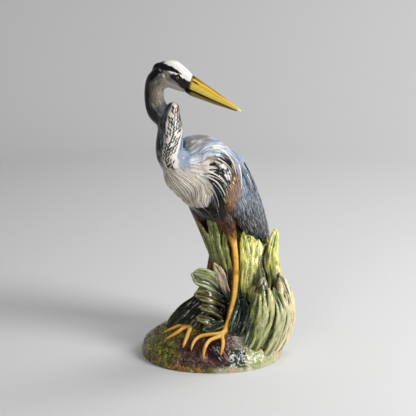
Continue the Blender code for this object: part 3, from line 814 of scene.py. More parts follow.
def ways_of_the_brush(heron):
    """What the brush goes by at each point: its place on the bird, the chart and the neck, and mottles."""
    places = points_of(heron)
    ahead, left, up = (places @ BIRD_TURN).T
    # The chart is the front elevation: -0.766 is the cosine of HEADING, and 0.643 is minus its sine.
    chart = np.stack([-0.766 * ahead + 0.643 * np.abs(left), up], 1)
    across, along = combed(chart).T
    flow = np.stack([across, along], 1)
    soft = 1.6 * layered(places, 6, 1)
    cloud = layered(places, 14, 2)
    streak = layered(flow / (2.4, 26), 1, 3)
    broad = layered(flow / (6.0, 60), 1, 4)
    dash = layered(flow / (1.9, 7), 1, 5)
    fine = layered(flow / (1.5, 14), 1, 6)

    flank = np.maximum(rise(12, 24, np.abs(left)), rise(12, 30, ahead))     # all but the middle of the back

    lower = from_bird(through(NECK_LOWER, 5)[:, :3])
    upper = from_bird(through(NECK_UPPER, 5)[:, :3])
    _, low_off = along_route(places, lower)
    up_along, up_off = along_route(places, upper)
    low_far, up_far = np.linalg.norm(low_off, axis=1), np.linalg.norm(up_off, axis=1)
    of_neck = rise(32, 27, np.minimum(low_far, up_far)) * rise(318, 344, up + 10 * fine + 5 * cloud)
    of_upper = rise(3, -3, up_far * 1.12 - low_far) * rise(400, 410, up)
    return dict(
        places=places, normals=normals_of(heron), ahead=ahead, left=left, up=up, chart=chart, across=across,
        along=along, soft=soft, cloud=cloud, streak=streak, broad=broad, dash=dash, fine=fine, flank=flank,
        low_off=low_off, up_off=up_off, up_far=up_far, up_along=up_along, of_neck=of_neck, of_upper=of_upper)


def glaze_body(chart, across, ahead, up, soft, cloud, streak, broad, dash, fine, flank, **rest):
    """Slate blue, worked light and dark along the feathers, and then each patch of plumage."""
    def area(outline, edge=2.2, ragged=0.0):
        return rise(edge, -edge, within(chart, outline, soft + ragged * fine)) * flank

    colour = laid(
        "#66717f",
        ("#8d9db3", rise(0.0, 0.5, broad) * 0.7),
        ("#3c4653", rise(0.05, 0.5, streak) * 0.75),
        ("#aab7c8", rise(0.15, 0.5, -streak) * 0.55))
    far_wing = rise(322, 285, up)
    colour = laid(
        colour,
        ("#3a3f49", rise(0.02, 0.3, dash) * far_wing * 0.7),
        ("#9aa3b0", rise(0.12, 0.4, -dash) * far_wing * 0.5),
        ("#6d6258", rise(0.1, 0.5, cloud) * rise(285, 240, up) * 0.45),
        ("#42403e", rise(272, 226, up + 8 * cloud) * 0.8),
        ("#8c8274", rise(0.2, 0.5, -dash) * rise(272, 226, up) * 0.5))

    # The pale sweep from the neck round the shoulder and over the back.
    sweep = rise(88, 96, across + soft) * rise(318, 340, up) * rise(60, 30, -ahead)
    colour = laid(
        colour,
        ("#b6bec9", sweep * 0.85),
        ("#7c8ba3", sweep * rise(0.0, 0.4, streak) * 0.85),
        ("#e6e8ea", sweep * rise(0.1, 0.4, -streak - 0.4 * fine) * rise(370, 354, up + soft) * 0.75),
        ("#4d5f7d", sweep * rise(0.25, 0.5, fine) * 0.6))
    hump = rise(5, -5, within(chart, HUMP_BROWN, soft))
    colour = laid(
        colour,
        ("#7c756d", hump * 0.85),
        ("#57504c", hump * rise(0, 0.4, streak) * 0.3))

    # Breast, plumes and the dark parts under the wing.
    belly = area(BELLY_BLACK, 2.0, 5.0)
    colour = laid(
        colour,
        ("#0f0e10", belly),
        ("#38271d", belly * rise(0.15, 0.5, streak + 0.4 * cloud) * 0.6),
        ("#5e5346", belly * rise(0.35, 0.6, fine) * 0.5))
    breast = area(BREAST, 2.0, 2.0)
    ridge = np.cos(across / 9.0 * 2 * np.pi + 1.5 * cloud + 1.6 * broad)
    colour = laid(
        colour,
        ("#d0c6b4", breast),
        # Painted shade along the lower edge of the breast.
        ("#9c907e", breast * rise(20, -10, across + 5 * cloud) * 0.7),
        ("#e2d9c8", breast * rise(22, 46, across) * 0.8),
        ("#8e7f69", breast * rise(-0.3, -0.9, ridge + 0.8 * streak) * 0.7),
        ("#f2ebdc", breast * rise(0.2, 0.8, ridge + 0.6 * streak) * 0.5))
    plumes = area(PLUMES, 1.8, 3.0)
    colour = laid(
        colour,
        ("#ece4d6", plumes),
        ("#8d7a62", plumes * rise(0.08, 0.4, streak) * 0.75))
    shoulder = area(SHOULDER_BLACK, 1.4, 3.0)
    colour = laid(
        colour,
        ("#121114", shoulder),
        ("#cfc8ba", shoulder * rise(0.30, 0.5, fine) * 0.6),
        ("#e9e9ea", area(SPOTTED, 1.2, 3.0) * rise(-0.1, 0.1, dash + 0.3 * fine)),
        ("#f2f3f6", area(WHITE_PATCH) * rise(0.45, -0.1, streak)))
    tan = ((-10, 349), (2, 349), (8, 344), (-2, 341), (-10, 344))
    colour = laid(colour, ("#9a7d55", area(tan, 2, 2) * 0.75))
    rust = area(RUST, 4.0, 10.0)
    colour = laid(
        colour,
        ("#936a3c", rust * 0.85),
        ("#3a2314", rust * rise(0.0, 0.35, dash) * 0.6),
        ("#bf935a", rust * rise(0.12, 0.4, -dash) * 0.7))
    return dict(colour=colour, far_wing=far_wing, belly=belly, breast=breast, ridge=ridge, plumes=plumes,
                shoulder=shoulder, rust=rust)


def glaze_legs(colour, places, normals, left, up, soft, cloud, dash, fine, **rest):
    """Rusty thighs that turn orange, with scutes; painted shade below and on the shaded side; painted toe
    highlights.
    """
    # Painted shade on the surfaces that face down, under the tail and between the legs.
    colour = laid(colour, ("#1c1b1e", rise(0.0, -0.45, normals[:, 2]) * rise(262, 240, up) * 0.95))

    legs = np.zeros(len(places))
    leg_along = np.zeros(len(places))
    leg_round = np.zeros(len(places))
    for name in ("left", "right"):
        rows = np.vstack([np.array(THIGHS[name])[1:, :3], np.array(SHANKS[name])[1:, :3]])
        reach, off = along_route(places, from_bird(rows))
        far = np.linalg.norm(off, axis=1) + 1.5 * fine + soft
        wide = 8.5 + 13 * rise(32, 0, reach)
        own = rise(wide + 4, wide - 1, far) * rise(246, 226, up + 14 * fine)
        legs = np.maximum(legs, own)
        nearer = own > 0.05
        leg_along[nearer] = reach[nearer]
        leg_round[nearer] = np.arctan2(off[nearer, 0], -off[nearer, 1]) * 5
        heel, *toes = TOES[name]
        for toe in toes:
            reach, off = along_route(places, from_bird(np.array([heel, *toe], float)))
            own = rise(9.5, 8, np.linalg.norm(off, axis=1)) * (up < 62)
            legs = np.maximum(legs, own)
            nearer = own > 0.05
            leg_along[nearer] = 300 + reach[nearer]
            leg_round[nearer] = off[nearer, 2]
    bony = legs * rise(190, 172, up)
    colour = laid(
        colour,
        ("#2b1e17", legs),
        ("#7c4c2a", legs * rise(-0.05, 0.3, dash) * 0.8),
        ("#a5672b", legs * rise(212, 192, up + 14 * fine)),
        ("#fbc254", legs * rise(208, 188, up + 8 * fine)),
        ("#5c3319", legs * rise(-2, -8, left) * rise(70, 110, up) * 0.9),
        ("#17120f", legs * rise(-2, -8, left) * rise(206, 222, up + 10 * fine) * 0.9),
        # Painted shade down the side of the legs turned away from the light.
        ("#6a3f1a", legs * rise(-0.15, -0.8, normals[:, 0]) * rise(64, 90, up) * 0.85),
        ("#3a2412", bony * rise(0.3, 0.5, fine) * 0.6),
        ("#cf8c28", bony * rise(0.0, 0.5, cloud) * 0.35),
        ("#8a5520", bony * rise(7, 2, np.abs(up - 143)) * 0.5),
        ("#e2a63a", legs * rise(76, 56, up) * 0.8),
        # Painted highlight on the tops of the toes, then painted shade on their undersides.
        ("#f4d896", legs * rise(66, 50, up) * rise(0.5, 0.95, normals[:, 2]) * 0.45),
        ("#7a4d18", legs * rise(66, 50, up) * rise(0.15, -0.3, normals[:, 2]) * 0.8))
    return dict(colour=colour, legs=legs, bony=bony, leg_along=leg_along, leg_round=leg_round)


def glaze_neck(colour, up, soft, cloud, low_off, up_off, up_far, up_along, of_neck, of_upper, **rest):
    """A slate strip behind, a white foreneck, and a dark outer edge above the bend."""
    turn = np.degrees(np.arctan2(low_off[:, 0], -low_off[:, 1]))
    edge = np.interp(up, [330, 345, 363, 394, 420], [-40, -32, -25, -19, -16]) + 4 * soft
    grey_streak = layered(np.stack([turn / 9, up / 26], 1), 1, 8)
    neck_dash = layered(np.stack([turn / 6, up / 9], 1), 1, 9)
    neck = laid(
        "#d6cfc1",
        ("#f8f4ea", rise(46, 8, np.abs(turn - 26)) * 0.9),
        ("#8f8778", rise(0.1, 0.5, grey_streak) * 0.45),
        ("#a89a84", rise(0.05, 0.45, cloud) * rise(50, 80, turn) * 0.6),
        ("#a98a68", rise(404, 418, up) * rise(60, 30, np.abs(turn - 30)) * 0.35))
    blue_side = np.interp(up, [330, 345, 363, 385, 400], [20, 32, 46, 66, 90]) + 3 * soft
    neck = laid(
        neck,
        ("#93a1b6", rise(-4, 6, turn - blue_side)),
        ("#4e5e78", rise(-4, 6, turn - blue_side) * rise(0.0, 0.4, grey_streak) * 0.8))
    behind = np.maximum(rise(9, -9, turn - edge - 9 * neck_dash), rise(-5, 5, turn - 118 + 4 * soft))
    behind = np.maximum(behind, rise(392, 402, up + soft) * rise(34, 52, np.abs(turn - 18)))
    neck = laid(
        neck,
        ("#595d63", behind),
        ("#0f1115", behind * rise(-0.05, 0.25, neck_dash + 0.3 * grey_streak) * 0.9),
        ("#8c939d", behind * rise(0.2, 0.5, -neck_dash) * rise(405, 385, up) * 0.4))

    outer = -up_off[:, 0] / np.maximum(up_far, 1) + 0.25 * rise(0.2, 1, -up_off[:, 2] / np.maximum(up_far, 1))
    outer += rise(452, 468, up) * rise(0.1, 0.7, up_off[:, 2] / np.maximum(up_far, 1))
    arch = np.sqrt(np.maximum(0, up_far ** 2 - up_off[:, 1] ** 2))
    arch *= np.sign(0.6 * up_off[:, 2] - up_off[:, 0])
    up_turn = np.degrees(np.arctan2(arch, -up_off[:, 1]))
    high_streak = layered(np.stack([up_turn / 9, up_along / 24], 1), 1, 12)
    high_dash = layered(np.stack([up_turn / 6, up_along / 9], 1), 1, 13)
    bend = rise(436, 416, up + 5 * high_dash)
    high = laid(
        "#686156",
        ("#877e6d", rise(0.1, -0.5, outer) * (1 - bend) * 0.8),
        ("#4b4b4d", rise(-0.1, 0.45, outer + 0.3 * high_streak) * 0.85),
        ("#0d0e10", rise(0.34, 0.66, outer + 0.2 * high_dash)),
        ("#1e2024", bend * 0.92),
        ("#191b1f", bend * rise(0, 0.4, high_dash) * 0.8),
        ("#26272a", rise(0.15, 0.5, high_dash) * 0.6),
        ("#a8a298", rise(0.2, 0.5, -high_dash) * rise(0.7, 0.3, outer) * (1 - bend) * 0.5),
        ("#1b1c20", bend * 0.5))
    neck = neck + (high - neck) * of_upper[:, None]
    colour = colour + (neck - colour) * of_neck[:, None]
    return dict(colour=colour, turn=turn, edge=edge, grey_streak=grey_streak, high_streak=high_streak)


def glaze_head(colour, places, up, soft, dash, **rest):
    """White crown and chin, black brow and eye patch, grey cheek."""
    head = to_head(places)
    side = head[:, [0, 2]]
    fore, rim_up = side.T
    skull = ((head[:, 0] + 3) / 33) ** 2 + (head[:, 1] / 19) ** 2 + ((head[:, 2] + 1) / 26) ** 2
    of_head = rise(1.25, 1.0, skull) * rise(-34, -20, fore - 0.9 * np.minimum(0, rim_up + 4)) * (up > 440)
    face = laid(
        "#746d63",
        ("#55534f", rise(4, -18, fore + 0.6 * rim_up + soft) * 0.9),
        ("#9d968a", rise(0.15, 0.5, -dash) * 0.5),
        ("#b4b0a8", rise(-7.5, -10.5, rim_up + 0.1 * fore + 0.5 * soft) * rise(-14, 2, fore)),
        ("#f3f0ea", rise(3.5, 5.5, rim_up + 0.35 * soft) * rise(-18, -6, fore)),
        ("#ebe8e1", rise(6, 10, rim_up + 0.4 * soft) * rise(-33, -27, fore + soft)),
        ("#141518", rise(-15, -23, fore + 0.5 * rim_up + 1.5 * soft) * rise(-16, -6, rim_up)),
        ("#141518", rise(-27, -32, fore + 1.2 * soft) * rise(4, 9, rim_up + soft)))
    colour = colour + (face - colour) * of_head[:, None]
    return dict(colour=colour, head=head, side=side, of_head=of_head)


def lay_strokes(places, chart, up, soft, fine, flank, turn, edge, of_neck, of_upper, of_head, head, side,
                **rest):
    """The strokes that go on last, as distances to their edges in millimetres: negative inside."""
    ink = np.full(len(places), 9.0)
    hair = np.full(len(places), 9.0)
    below = (up < 392) & (flank > 0.5)
    for route, root, tip in BLACK_STROKES:
        stroke = brushed(chart, route, 0.8 * root, 0.6 * tip) + 0.5 * fine
        ink = np.where(below, np.minimum(ink, stroke), ink)
    for route, root, tip in WHITE_STROKES:
        stroke = brushed(chart, route, 0.6 * root, 0.3 * tip) + 0.25 * fine
        hair = np.where(below, np.minimum(hair, stroke), hair)
    white_neck = rise(-2, 8, turn - edge) * (of_neck > 0.25) * (of_upper < 0.5) * rise(100, 85, turn)
    middle = np.interp(up, [325, 335, 347, 363, 387, 409, 425], [-3, -6, -5, -2, 5, 9, 9])
    strokes = neck_strokes(np.radians(turn) * across_scale(up), up, middle)
    ink = np.where(white_neck > 0.5, np.minimum(ink, strokes), ink)
    on_head = (of_head > 0.3) | ((of_upper > 0.5) & (up > 455))
    brow = brushed(side, BROW, 0.9, 7.4) + 0.9 * mottle(places, 3, 11)
    patch = within(side, EYE_PATCH, 0.8 * soft + 2.4 * fine)
    gape = brushed(side, GAPE, 0.9, 1.6)
    marks = np.minimum(np.minimum(brow, patch), gape)
    ink = np.where(on_head & (np.abs(head[:, 1]) > 2.5), np.minimum(ink, marks), ink)
    return dict(ink=ink, hair=hair, on_head=on_head)


def comb_clay(colour, up, cloud, streak, broad, fine, legs, bony, leg_along, belly, breast, ridge, plumes,
              shoulder, of_neck, of_upper, of_head, on_head, head, grey_streak, high_streak, ink, hair,
              **rest):
    """Feathers combed into the clay, scutes, and a socket round each eye. Glaze gathers where it is low."""
    bare = 1 - legs
    relief = 0.5 * streak * (1 - of_neck) * bare + 0.3 * broad * bare * (1 - of_head)
    relief += 0.3 * ridge * breast * (1 - of_neck)
    relief += 0.3 * fine * np.maximum(plumes, np.maximum(shoulder, belly))
    relief -= 0.35 * rise(0.8, -0.8, ink) * of_neck
    relief += 0.5 * rise(0.5, -0.5, hair) * (1 - of_neck)
    relief += 0.35 * (grey_streak + (high_streak - grey_streak) * of_upper) * of_neck * (1 - of_head)
    scutes = np.cos(leg_along / SCUTES_APART * 2 * np.pi + 2 * cloud)
    relief -= 0.15 * rise(0.55, 0.9, scutes) * bony * rise(56, 66, up)
    eye_far = np.hypot(head[:, 0] - EYE_PLACE[0], head[:, 2] - EYE_PLACE[2])
    relief += on_head * (0.9 * np.exp(-((eye_far - 5.6) / 1.4) ** 2) - 0.8 * rise(5.0, 2.5, eye_far))
    relief *= rise(20, 24, up)
    colour = laid(colour, ("#1b1a1c", rise(0.15, 0.7, -relief) * bare * 0.35))
    return dict(colour=colour, relief=relief, bare=bare)


def paint_heron(heron):
    """Brushes every glaze on the heron and combs the relief of its feathers."""
    at = ways_of_the_brush(heron)
    for step in (glaze_body, glaze_legs, glaze_neck, glaze_head, lay_strokes, comb_clay):
        at.update(step(**at))
    up, legs, breast, of_neck = at["up"], at["legs"], at["breast"], at["of_neck"]
    dark = np.maximum(np.maximum(at["belly"], at["shoulder"]), of_neck)
    toes = rise(66, 56, up)
    keep_colour(heron, "wash", at["colour"])
    keep_numbers(
        heron, ink=at["ink"], hair=at["hair"], grain=breast * (1 - of_neck),
        winged=at["far_wing"] * (1 - legs) * (1 - breast) * (1 - 0.8 * dark) * (1 - 0.6 * at["rust"]),
        scuted=at["bony"] * (1 - 0.8 * toes) * (0.25 + 0.75 * rise(160, 120, up)),
        brushed=at["bare"] * (1 - 0.8 * at["of_head"]) * (1 - 0.6 * breast) * (1 - 0.85 * dark))
    round_neck = np.radians(at["turn"]) * 20
    across = np.where(legs > 0.3, at["leg_round"], np.where(of_neck > 0.5, round_neck, at["across"]))
    along = np.where(legs > 0.3, at["leg_along"], np.where(of_neck > 0.5, up, at["along"]))
    keep_flow(heron, across, along)
    pushed(heron, at["relief"])


def make_heron(glaze):
    heron = joined("heron", bird_bodies())
    applied(heron, "REMESH", mode="VOXEL", voxel_size=CLAY_VOXEL, use_smooth_shade=True)
    applied(heron, "SMOOTH", factor=0.5, iterations=11)
    for _ in range(2):
        bird = points_of(heron) @ BIRD_TURN
        folded = np.exp(-(np.linalg.norm(bird - NECK_FOLD, axis=1) / 24) ** 4)
        pushed(heron, np.maximum(0, hollows(heron, 160)) * rise(236, 262, bird[:, 2]) * (1 - folded))
    applied(heron, "SMOOTH", factor=0.5, iterations=8)
    paint_heron(heron)
    thinned(heron)
    nodes = ["trunk", "wing_left", "wing_right", "tail", "thigh_left", "thigh_right", "shank_left",
             "shank_right", "foot_left", "foot_right", "neck_lower", "neck_upper", "head"]
    finish_piece(heron, glaze, "plumage_glaze", *nodes)


def finish_piece(piece, glaze, slot, *nodes):
    piece.data.materials.clear()
    piece.data.materials.append(glaze)
    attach(piece, "root")
    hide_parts(*nodes)


# ---------------------------------------------------------------- bill and eyes

def bill_half(name, upper):
    """One half of the bill, from inside the feathers to its tip."""
    t = np.linspace(-0.04 if upper else 0.02, 1.0 if upper else 0.93, 60)
    taper = (1 - t) ** 0.8
    drop = -2.5 - t
    split = drop - BILL_DEPTH * 0.19 * taper
    top = drop + BILL_DEPTH * 0.5 * taper + 1.3
    bottom = drop - BILL_DEPTH * 0.5 * taper - 0.7
    bottom = bottom + 3.0 * rise(0.16, 0.0, t)
    high, low = (top, split) if upper else (split - 0.35, bottom)
    half_width = 1.1 + 8.9 * taper if upper else 0.7 + 7.8 * taper
    stations = np.stack([22 + BILL_LENGTH * t, 0 * t, (high + low) / 2, half_width, (high - low) / 2], 1)

    def section(x, y, t):
        flat = y < 0 if upper else y > 0
        x = np.where(flat, np.sign(x) * np.abs(x) ** 0.6, x * (1 - 0.22 * np.abs(y) ** 2))
        groove = np.exp(-((y - (0.32 if upper else -0.05)) / 0.10) ** 2)
        groove = groove * rise(0.02, 0.10, t) * rise(0.85, 0.6, t)
        return x * (1 - 0.10 * groove), y

    sides = 56
    bill = thrown(name, from_head(rings_of(stations, sides, (0, 1, 0), section)))
    x, y = round_thrown(len(t), sides)
    far = per_ring(t, sides, t[0], t[-1])
    deep = per_ring(stations[:, 4], sides, 8, 1)
    fore = 22 + BILL_LENGTH * far
    places = np.stack([fore, 9 * x, 9 * y], 1)
    cloud = layered(places * (0.4, 1, 1), 9, 21)
    ink = np.full(len(y), 9.0)
    if upper:
        colour = laid(
            "#e0bc3c",
            # Paler yellow down the sides: a painted highlight.
            ("#f2da5e", rise(0.35, -0.2, y) * 0.9),
            ("#cf9c26", np.exp(-((y - 0.32) / 0.16) ** 2) * 0.7),
            ("#5a4214", rise(0.70, 0.92, y + 0.12 * cloud) * rise(0.95, 0.5, far) * 0.9),
            ("#f8ea9a", rise(0.90, 0.98, far)),
            ("#3a2a12", rise(0.10, 0.0, far + 0.03 * cloud) * rise(-0.15, 0.15, y + 0.2 * cloud)),
            ("#1d160d", rise(0.11, 0.05, far + 0.05 * cloud + 0.06 * rise(-0.1, 0.5, y) * rise(0.9, 0.6, y))))
        ink = np.minimum(ink, (y + 0.86) * deep * 1.2)                                      # the gape
        slit = np.hypot((fore - 33) / 6.5, (y - 0.42) / 0.12)                               # the nostril
        ink = np.minimum(ink, (slit - 1) * 1.1)
    else:
        colour = laid(
            "#8f7f32",
            ("#b5a04a", rise(0.2, 0.6, -y) * rise(-0.4, 0.4, cloud)),
            ("#5e5426", rise(-0.2, 0.3, y) * 0.7),
            ("#141210", rise(0.16, 0.08, far + 0.02 * cloud)))
        ink = np.minimum(ink, (0.72 - y) * deep * 1.1)
        ink = np.minimum(ink, np.abs(y - 0.1) * deep - 0.18 * rise(0.05, 0.2, far))
    keep_colour(bill, "wash", colour)
    keep_numbers(bill, ink=ink)
    keep_flow(bill, y * 9, fore)
    return bill


def make_bill(glaze):
    for name, upper, node in (("upper_bill", True, "bill_upper"), ("lower_bill", False, "bill_lower")):
        bill = bill_half(name, upper)
        finish_piece(bill, glaze, "bill_glaze", node)


def make_eyes(glaze):
    for name, side, node in (("left_eye", 1, "eye_left"), ("right_eye", -1, "eye_right")):
        ahead, out, up = EYE_PLACE
        place = HEAD_MATRIX @ Vector((ahead, side * out, up))
        deselect()
        bpy.ops.mesh.primitive_uv_sphere_add(segments=48, ring_count=32, radius=EYE_RADIUS * MM,
                                             location=place * MM)
        eye = bpy.context.object
        eye.name = eye.data.name = name
        bpy.ops.object.transform_apply(location=True, rotation=True, scale=True)
        looks = HEAD_TURN @ np.array([0.28, side, 0.05])
        looks /= np.linalg.norm(looks)
        away = points_of(eye) - np.array(place)
        keep_numbers(eye, from_pupil=np.arccos(np.clip(away @ looks / EYE_RADIUS, -1, 1)) * EYE_RADIUS)
        eye.data.shade_smooth()
        finish_piece(eye, glaze, "eye_glaze", node)


# ---------------------------------------------------------------- mound and stone

MOUND_HALF_WIDTH, MOUND_HALF_DEPTH, MOUND_HEIGHT = 121.5, 115.0, 58.0


def mound_height(x, y):
    """A squarish dome whose back left quarter sags."""
    out = (np.abs(x / MOUND_HALF_WIDTH) ** 2.3 + np.abs(y / MOUND_HALF_DEPTH) ** 2.3) ** (1 / 2.3)
    left, back = np.maximum(0, -x / MOUND_HALF_WIDTH), np.maximum(0, y / MOUND_HALF_DEPTH)
    dome = MOUND_HEIGHT * np.sqrt(np.maximum(0, 1 - out ** 2.2))
    return dome * (1 - 0.68 * left * (back + 0.15 * np.minimum(1, 5 * back)))


def make_mound(glaze):
    sides, levels = 560, 110
    out = np.sin(np.pi / 2 * (1 - np.arange(levels) / levels)) ** 0.8
    angle = 2 * np.pi * np.arange(sides) / sides
    corner = (np.abs(np.cos(angle)) ** 2.3 + np.abs(np.sin(angle)) ** 2.3) ** (-1 / 2.3)
    x = MOUND_HALF_WIDTH * out[:, None] * corner * np.cos(angle)
    y = MOUND_HALF_DEPTH * out[:, None] * corner * np.sin(angle)
    z = mound_height(x, y)
    z[0] = 0
    mound = thrown("mossy_mound", np.stack([x, y, z], -1))
    places = points_of(mound)
    x, y, z = places.T
    cloud = layered(places, 26, 31)
    dab = layered(places, 7, 32)
    speck = layered(places, 4.6, 36)
    crumb = layered(places, 5.5, 37)
    curl = layered(places + 3 * np.stack([dab, cloud, dab], 1), 7, 34)

    cream = rise(18, 48, x - 0.45 * (y + 60) + 9 * cloud) * rise(60, 30, y)
    swirl = rise(17, 9, np.abs(x - 41 + 6 * cloud)) * rise(-86, -96, y) * rise(4, 10, z)
    plum = rise(1.5, 1.0, np.hypot((x + 4) / 44, (y + 92) / 30) + 0.3 * cloud) * rise(6, 12, z)
    rim = rise(20, 8, z + 5 * cloud)
    mossy = np.clip(1 - 0.85 * cream - 0.7 * plum - 0.7 * swirl, 0, 1)
    colour = laid(
        "#5c5a24",
        ("#8a8436", rise(0.0, 0.4, dab) * 0.9),
        ("#22240f", rise(0.12, 0.45, -dab) * 0.85),
        ("#4f3a1c", rise(0.15, 0.6, cloud) * 0.8),
        ("#bdb14a", rise(0.16, 0.36, speck) * rise(-0.3, 0.2, dab) * 0.8),
        ("#10130b", rise(0.18, 0.36, -speck) * 0.85),
        ("#7c4c22", rise(0.25, 0.42, crumb) * 0.7),
        ("#2f4636", rise(0.2, 0.6, -cloud) * 0.6),
        ("#6b4a2a", mossy * rise(0.1, 0.4, layered(places, 16, 38)) * 0.55),
        ("#8a5a24", rim * rise(-20, -50, x) * rise(0.05, 0.4, dab + 0.5 * cloud) * 0.8),
        ("#a86428", rim * rise(34, 14, np.abs(x + 42)) * rise(-0.3, 0.3, dab) * 0.85),
        ("#b9b78f", cream),
        ("#8d9a58", cream * rise(0.0, 0.45, dab) * 0.85),
        ("#d8ab90", cream * rise(0.15, 0.45, cloud) * 0.8),
        ("#e6e2cc", cream * rise(0.2, 0.5, -dab) * 0.8),
        ("#4a2a31", plum * 0.95),
        ("#1a1012", plum * rise(0.05, 0.4, dab) * 0.8),
        ("#1f2f28", swirl * 0.9),
        ("#dfe3d4", swirl * rise(0.16, 0.05, np.abs(curl)) * 0.9),
        ("#f1efe4", cream * rise(0.08, 0.02, np.abs(curl)) * 0.3))
    # Near-black towards the middle of the mound, under the reeds.
    pool = rise(1.25, 0.7, ((x - 30) / 78) ** 2 + ((y - 8) / 66) ** 2) * 0.85
    keep_colour(mound, "wash", colour)
    keep_numbers(mound, mossy=mossy, pool=pool)
    lumps = 1.7 * dab + 1.0 * speck + 0.9 * layered(places, 3.6, 33)
    lumps += 0.7 * rise(0.2, 0.0, np.abs(curl)) * (swirl + cream)
    pushed(mound, lumps * rise(0.5, 6, z) * (1 - 0.35 * cream))
    stood(mound, 0)
    finish_piece(mound, glaze, "mound_glaze", "mound")


def make_stone(glaze):
    """The worn stone under the bird's left foot, with ridges like old bark."""
    deselect()
    bpy.ops.mesh.primitive_uv_sphere_add(segments=220, ring_count=140, radius=MM)
    stone = bpy.context.object
    stone.name = stone.data.name = "ridged_stone"
    way = points_of(stone)
    way /= np.linalg.norm(way, axis=1, keepdims=True)
    lump = 1 + 0.05 * np.sin(4 * way[:, 0] + 2 * way[:, 2]) * np.cos(3 * way[:, 1])
    turn = np.array(Euler((math.radians(8), math.radians(10), math.radians(-35))).to_matrix())
    places = (way * lump[:, None] * (41, 28, 18)) @ turn.T + (-5, -82, 25)
    moved_to(stone, places)
    across = 0.82 * places[:, 0] + 0.10 * places[:, 1] + 0.55 * places[:, 2]
    along = -0.55 * places[:, 0] + 0.2 * places[:, 1] + 0.82 * places[:, 2]
    bark = layered(np.stack([across / 4.6 + 0.4 * mottle(places, 14, 43), along / 22], 1), 1, 41, 2)
    bark = 0.6 * np.tanh(3 * bark) + 0.25 * layered(np.stack([across / 1.8, along / 12], 1), 1, 44)
    cloud = layered(places, 12, 42)
    colour = laid(
        "#4f2529",
        ("#a8746e", rise(0.3, 0.7, bark) * 0.6),
        ("#3a2020", rise(0.0, 0.5, cloud) * 0.6),
        ("#50403c", rise(26, 38, places[:, 2]) * 0.4))
    keep_colour(stone, "wash", colour)
    keep_numbers(stone, pool=rise(0.0, -0.45, bark) * 0.9, rim=0 * bark, striped=0.4 + 0 * bark,
                 thin=rise(0.3, 0.8, bark))
    keep_flow(stone, across, along)
    pushed(stone, 2.8 * bark + 0.8 * cloud)
    stood(stone, 1)
    stone.data.shade_smooth()
    finish_piece(stone, glaze, "stone_glaze", "stone")


# ---------------------------------------------------------------- reeds and leaves
# Routes from root to tip, width, thickness, the way the front looks, then the glazes at the root, at the
# tip and on the ribs; the pale rib glaze is partly a painted highlight.

REEDS = {
    "reed_1": (((12, -14, 104), (-2, -10, 176), (-25, -6, 228)), 15, 8, "#2c2a12", "#6b6a30", "#8f8c4c"),
    "reed_2": (((24, -18, 100), (8, -14, 178), (-6, -3, 244)), 21, 10, "#3c4418", "#76823a", "#acb366"),
    "reed_3": (((31, -13, 98), (21, -9, 165), (13, 0, 236)), 20, 10, "#4a5220", "#808a3e", "#b4ba6a"),
    "reed_4": (((55, -17, 92), (54, -13, 163), (50, 6, 206)), 20, 10, "#a9ac2c", "#c6c648", "#ecea94"),
    "reed_5": (((61, -22, 92), (60, -17, 150), (62, 8, 197)), 24, 11, "#cccc40", "#eae65c", "#fcfabc"),
    "reed_6": (((67, -20, 90), (71, -15, 142), (75, 10, 190)), 27, 11, "#d6d646", "#eee962", "#fcfac2"),
    "reed_7": (((78, -10, 86), (84, -4, 136), (88, 16, 180)), 28, 11, "#565f24", "#b4b83c", "#dcdc7c"),
    "reed_tall": (((94, -10, 74), (103, 2, 125), (99, 12, 165), (108, 22, 204)), 36, 14,
                  "#4d5a34", "#dcdc56", "#f6f4a8"),
    "reed_back_1": (((20, 50, 80), (12, 54, 146), (0, 44, 206)), 36, 11, "#3a4418", "#7a8432", "#a5ab56"),
    "reed_back_2": (((52, 62, 80), (54, 62, 140), (60, 58, 186)), 34, 11, "#3f4a18", "#8a9434", "#b4ba5a"),
    "reed_back_3": (((84, 40, 76), (90, 42, 138), (92, 46, 184)), 32, 11, "#3a4418", "#909a34", "#b8be5e"),
}
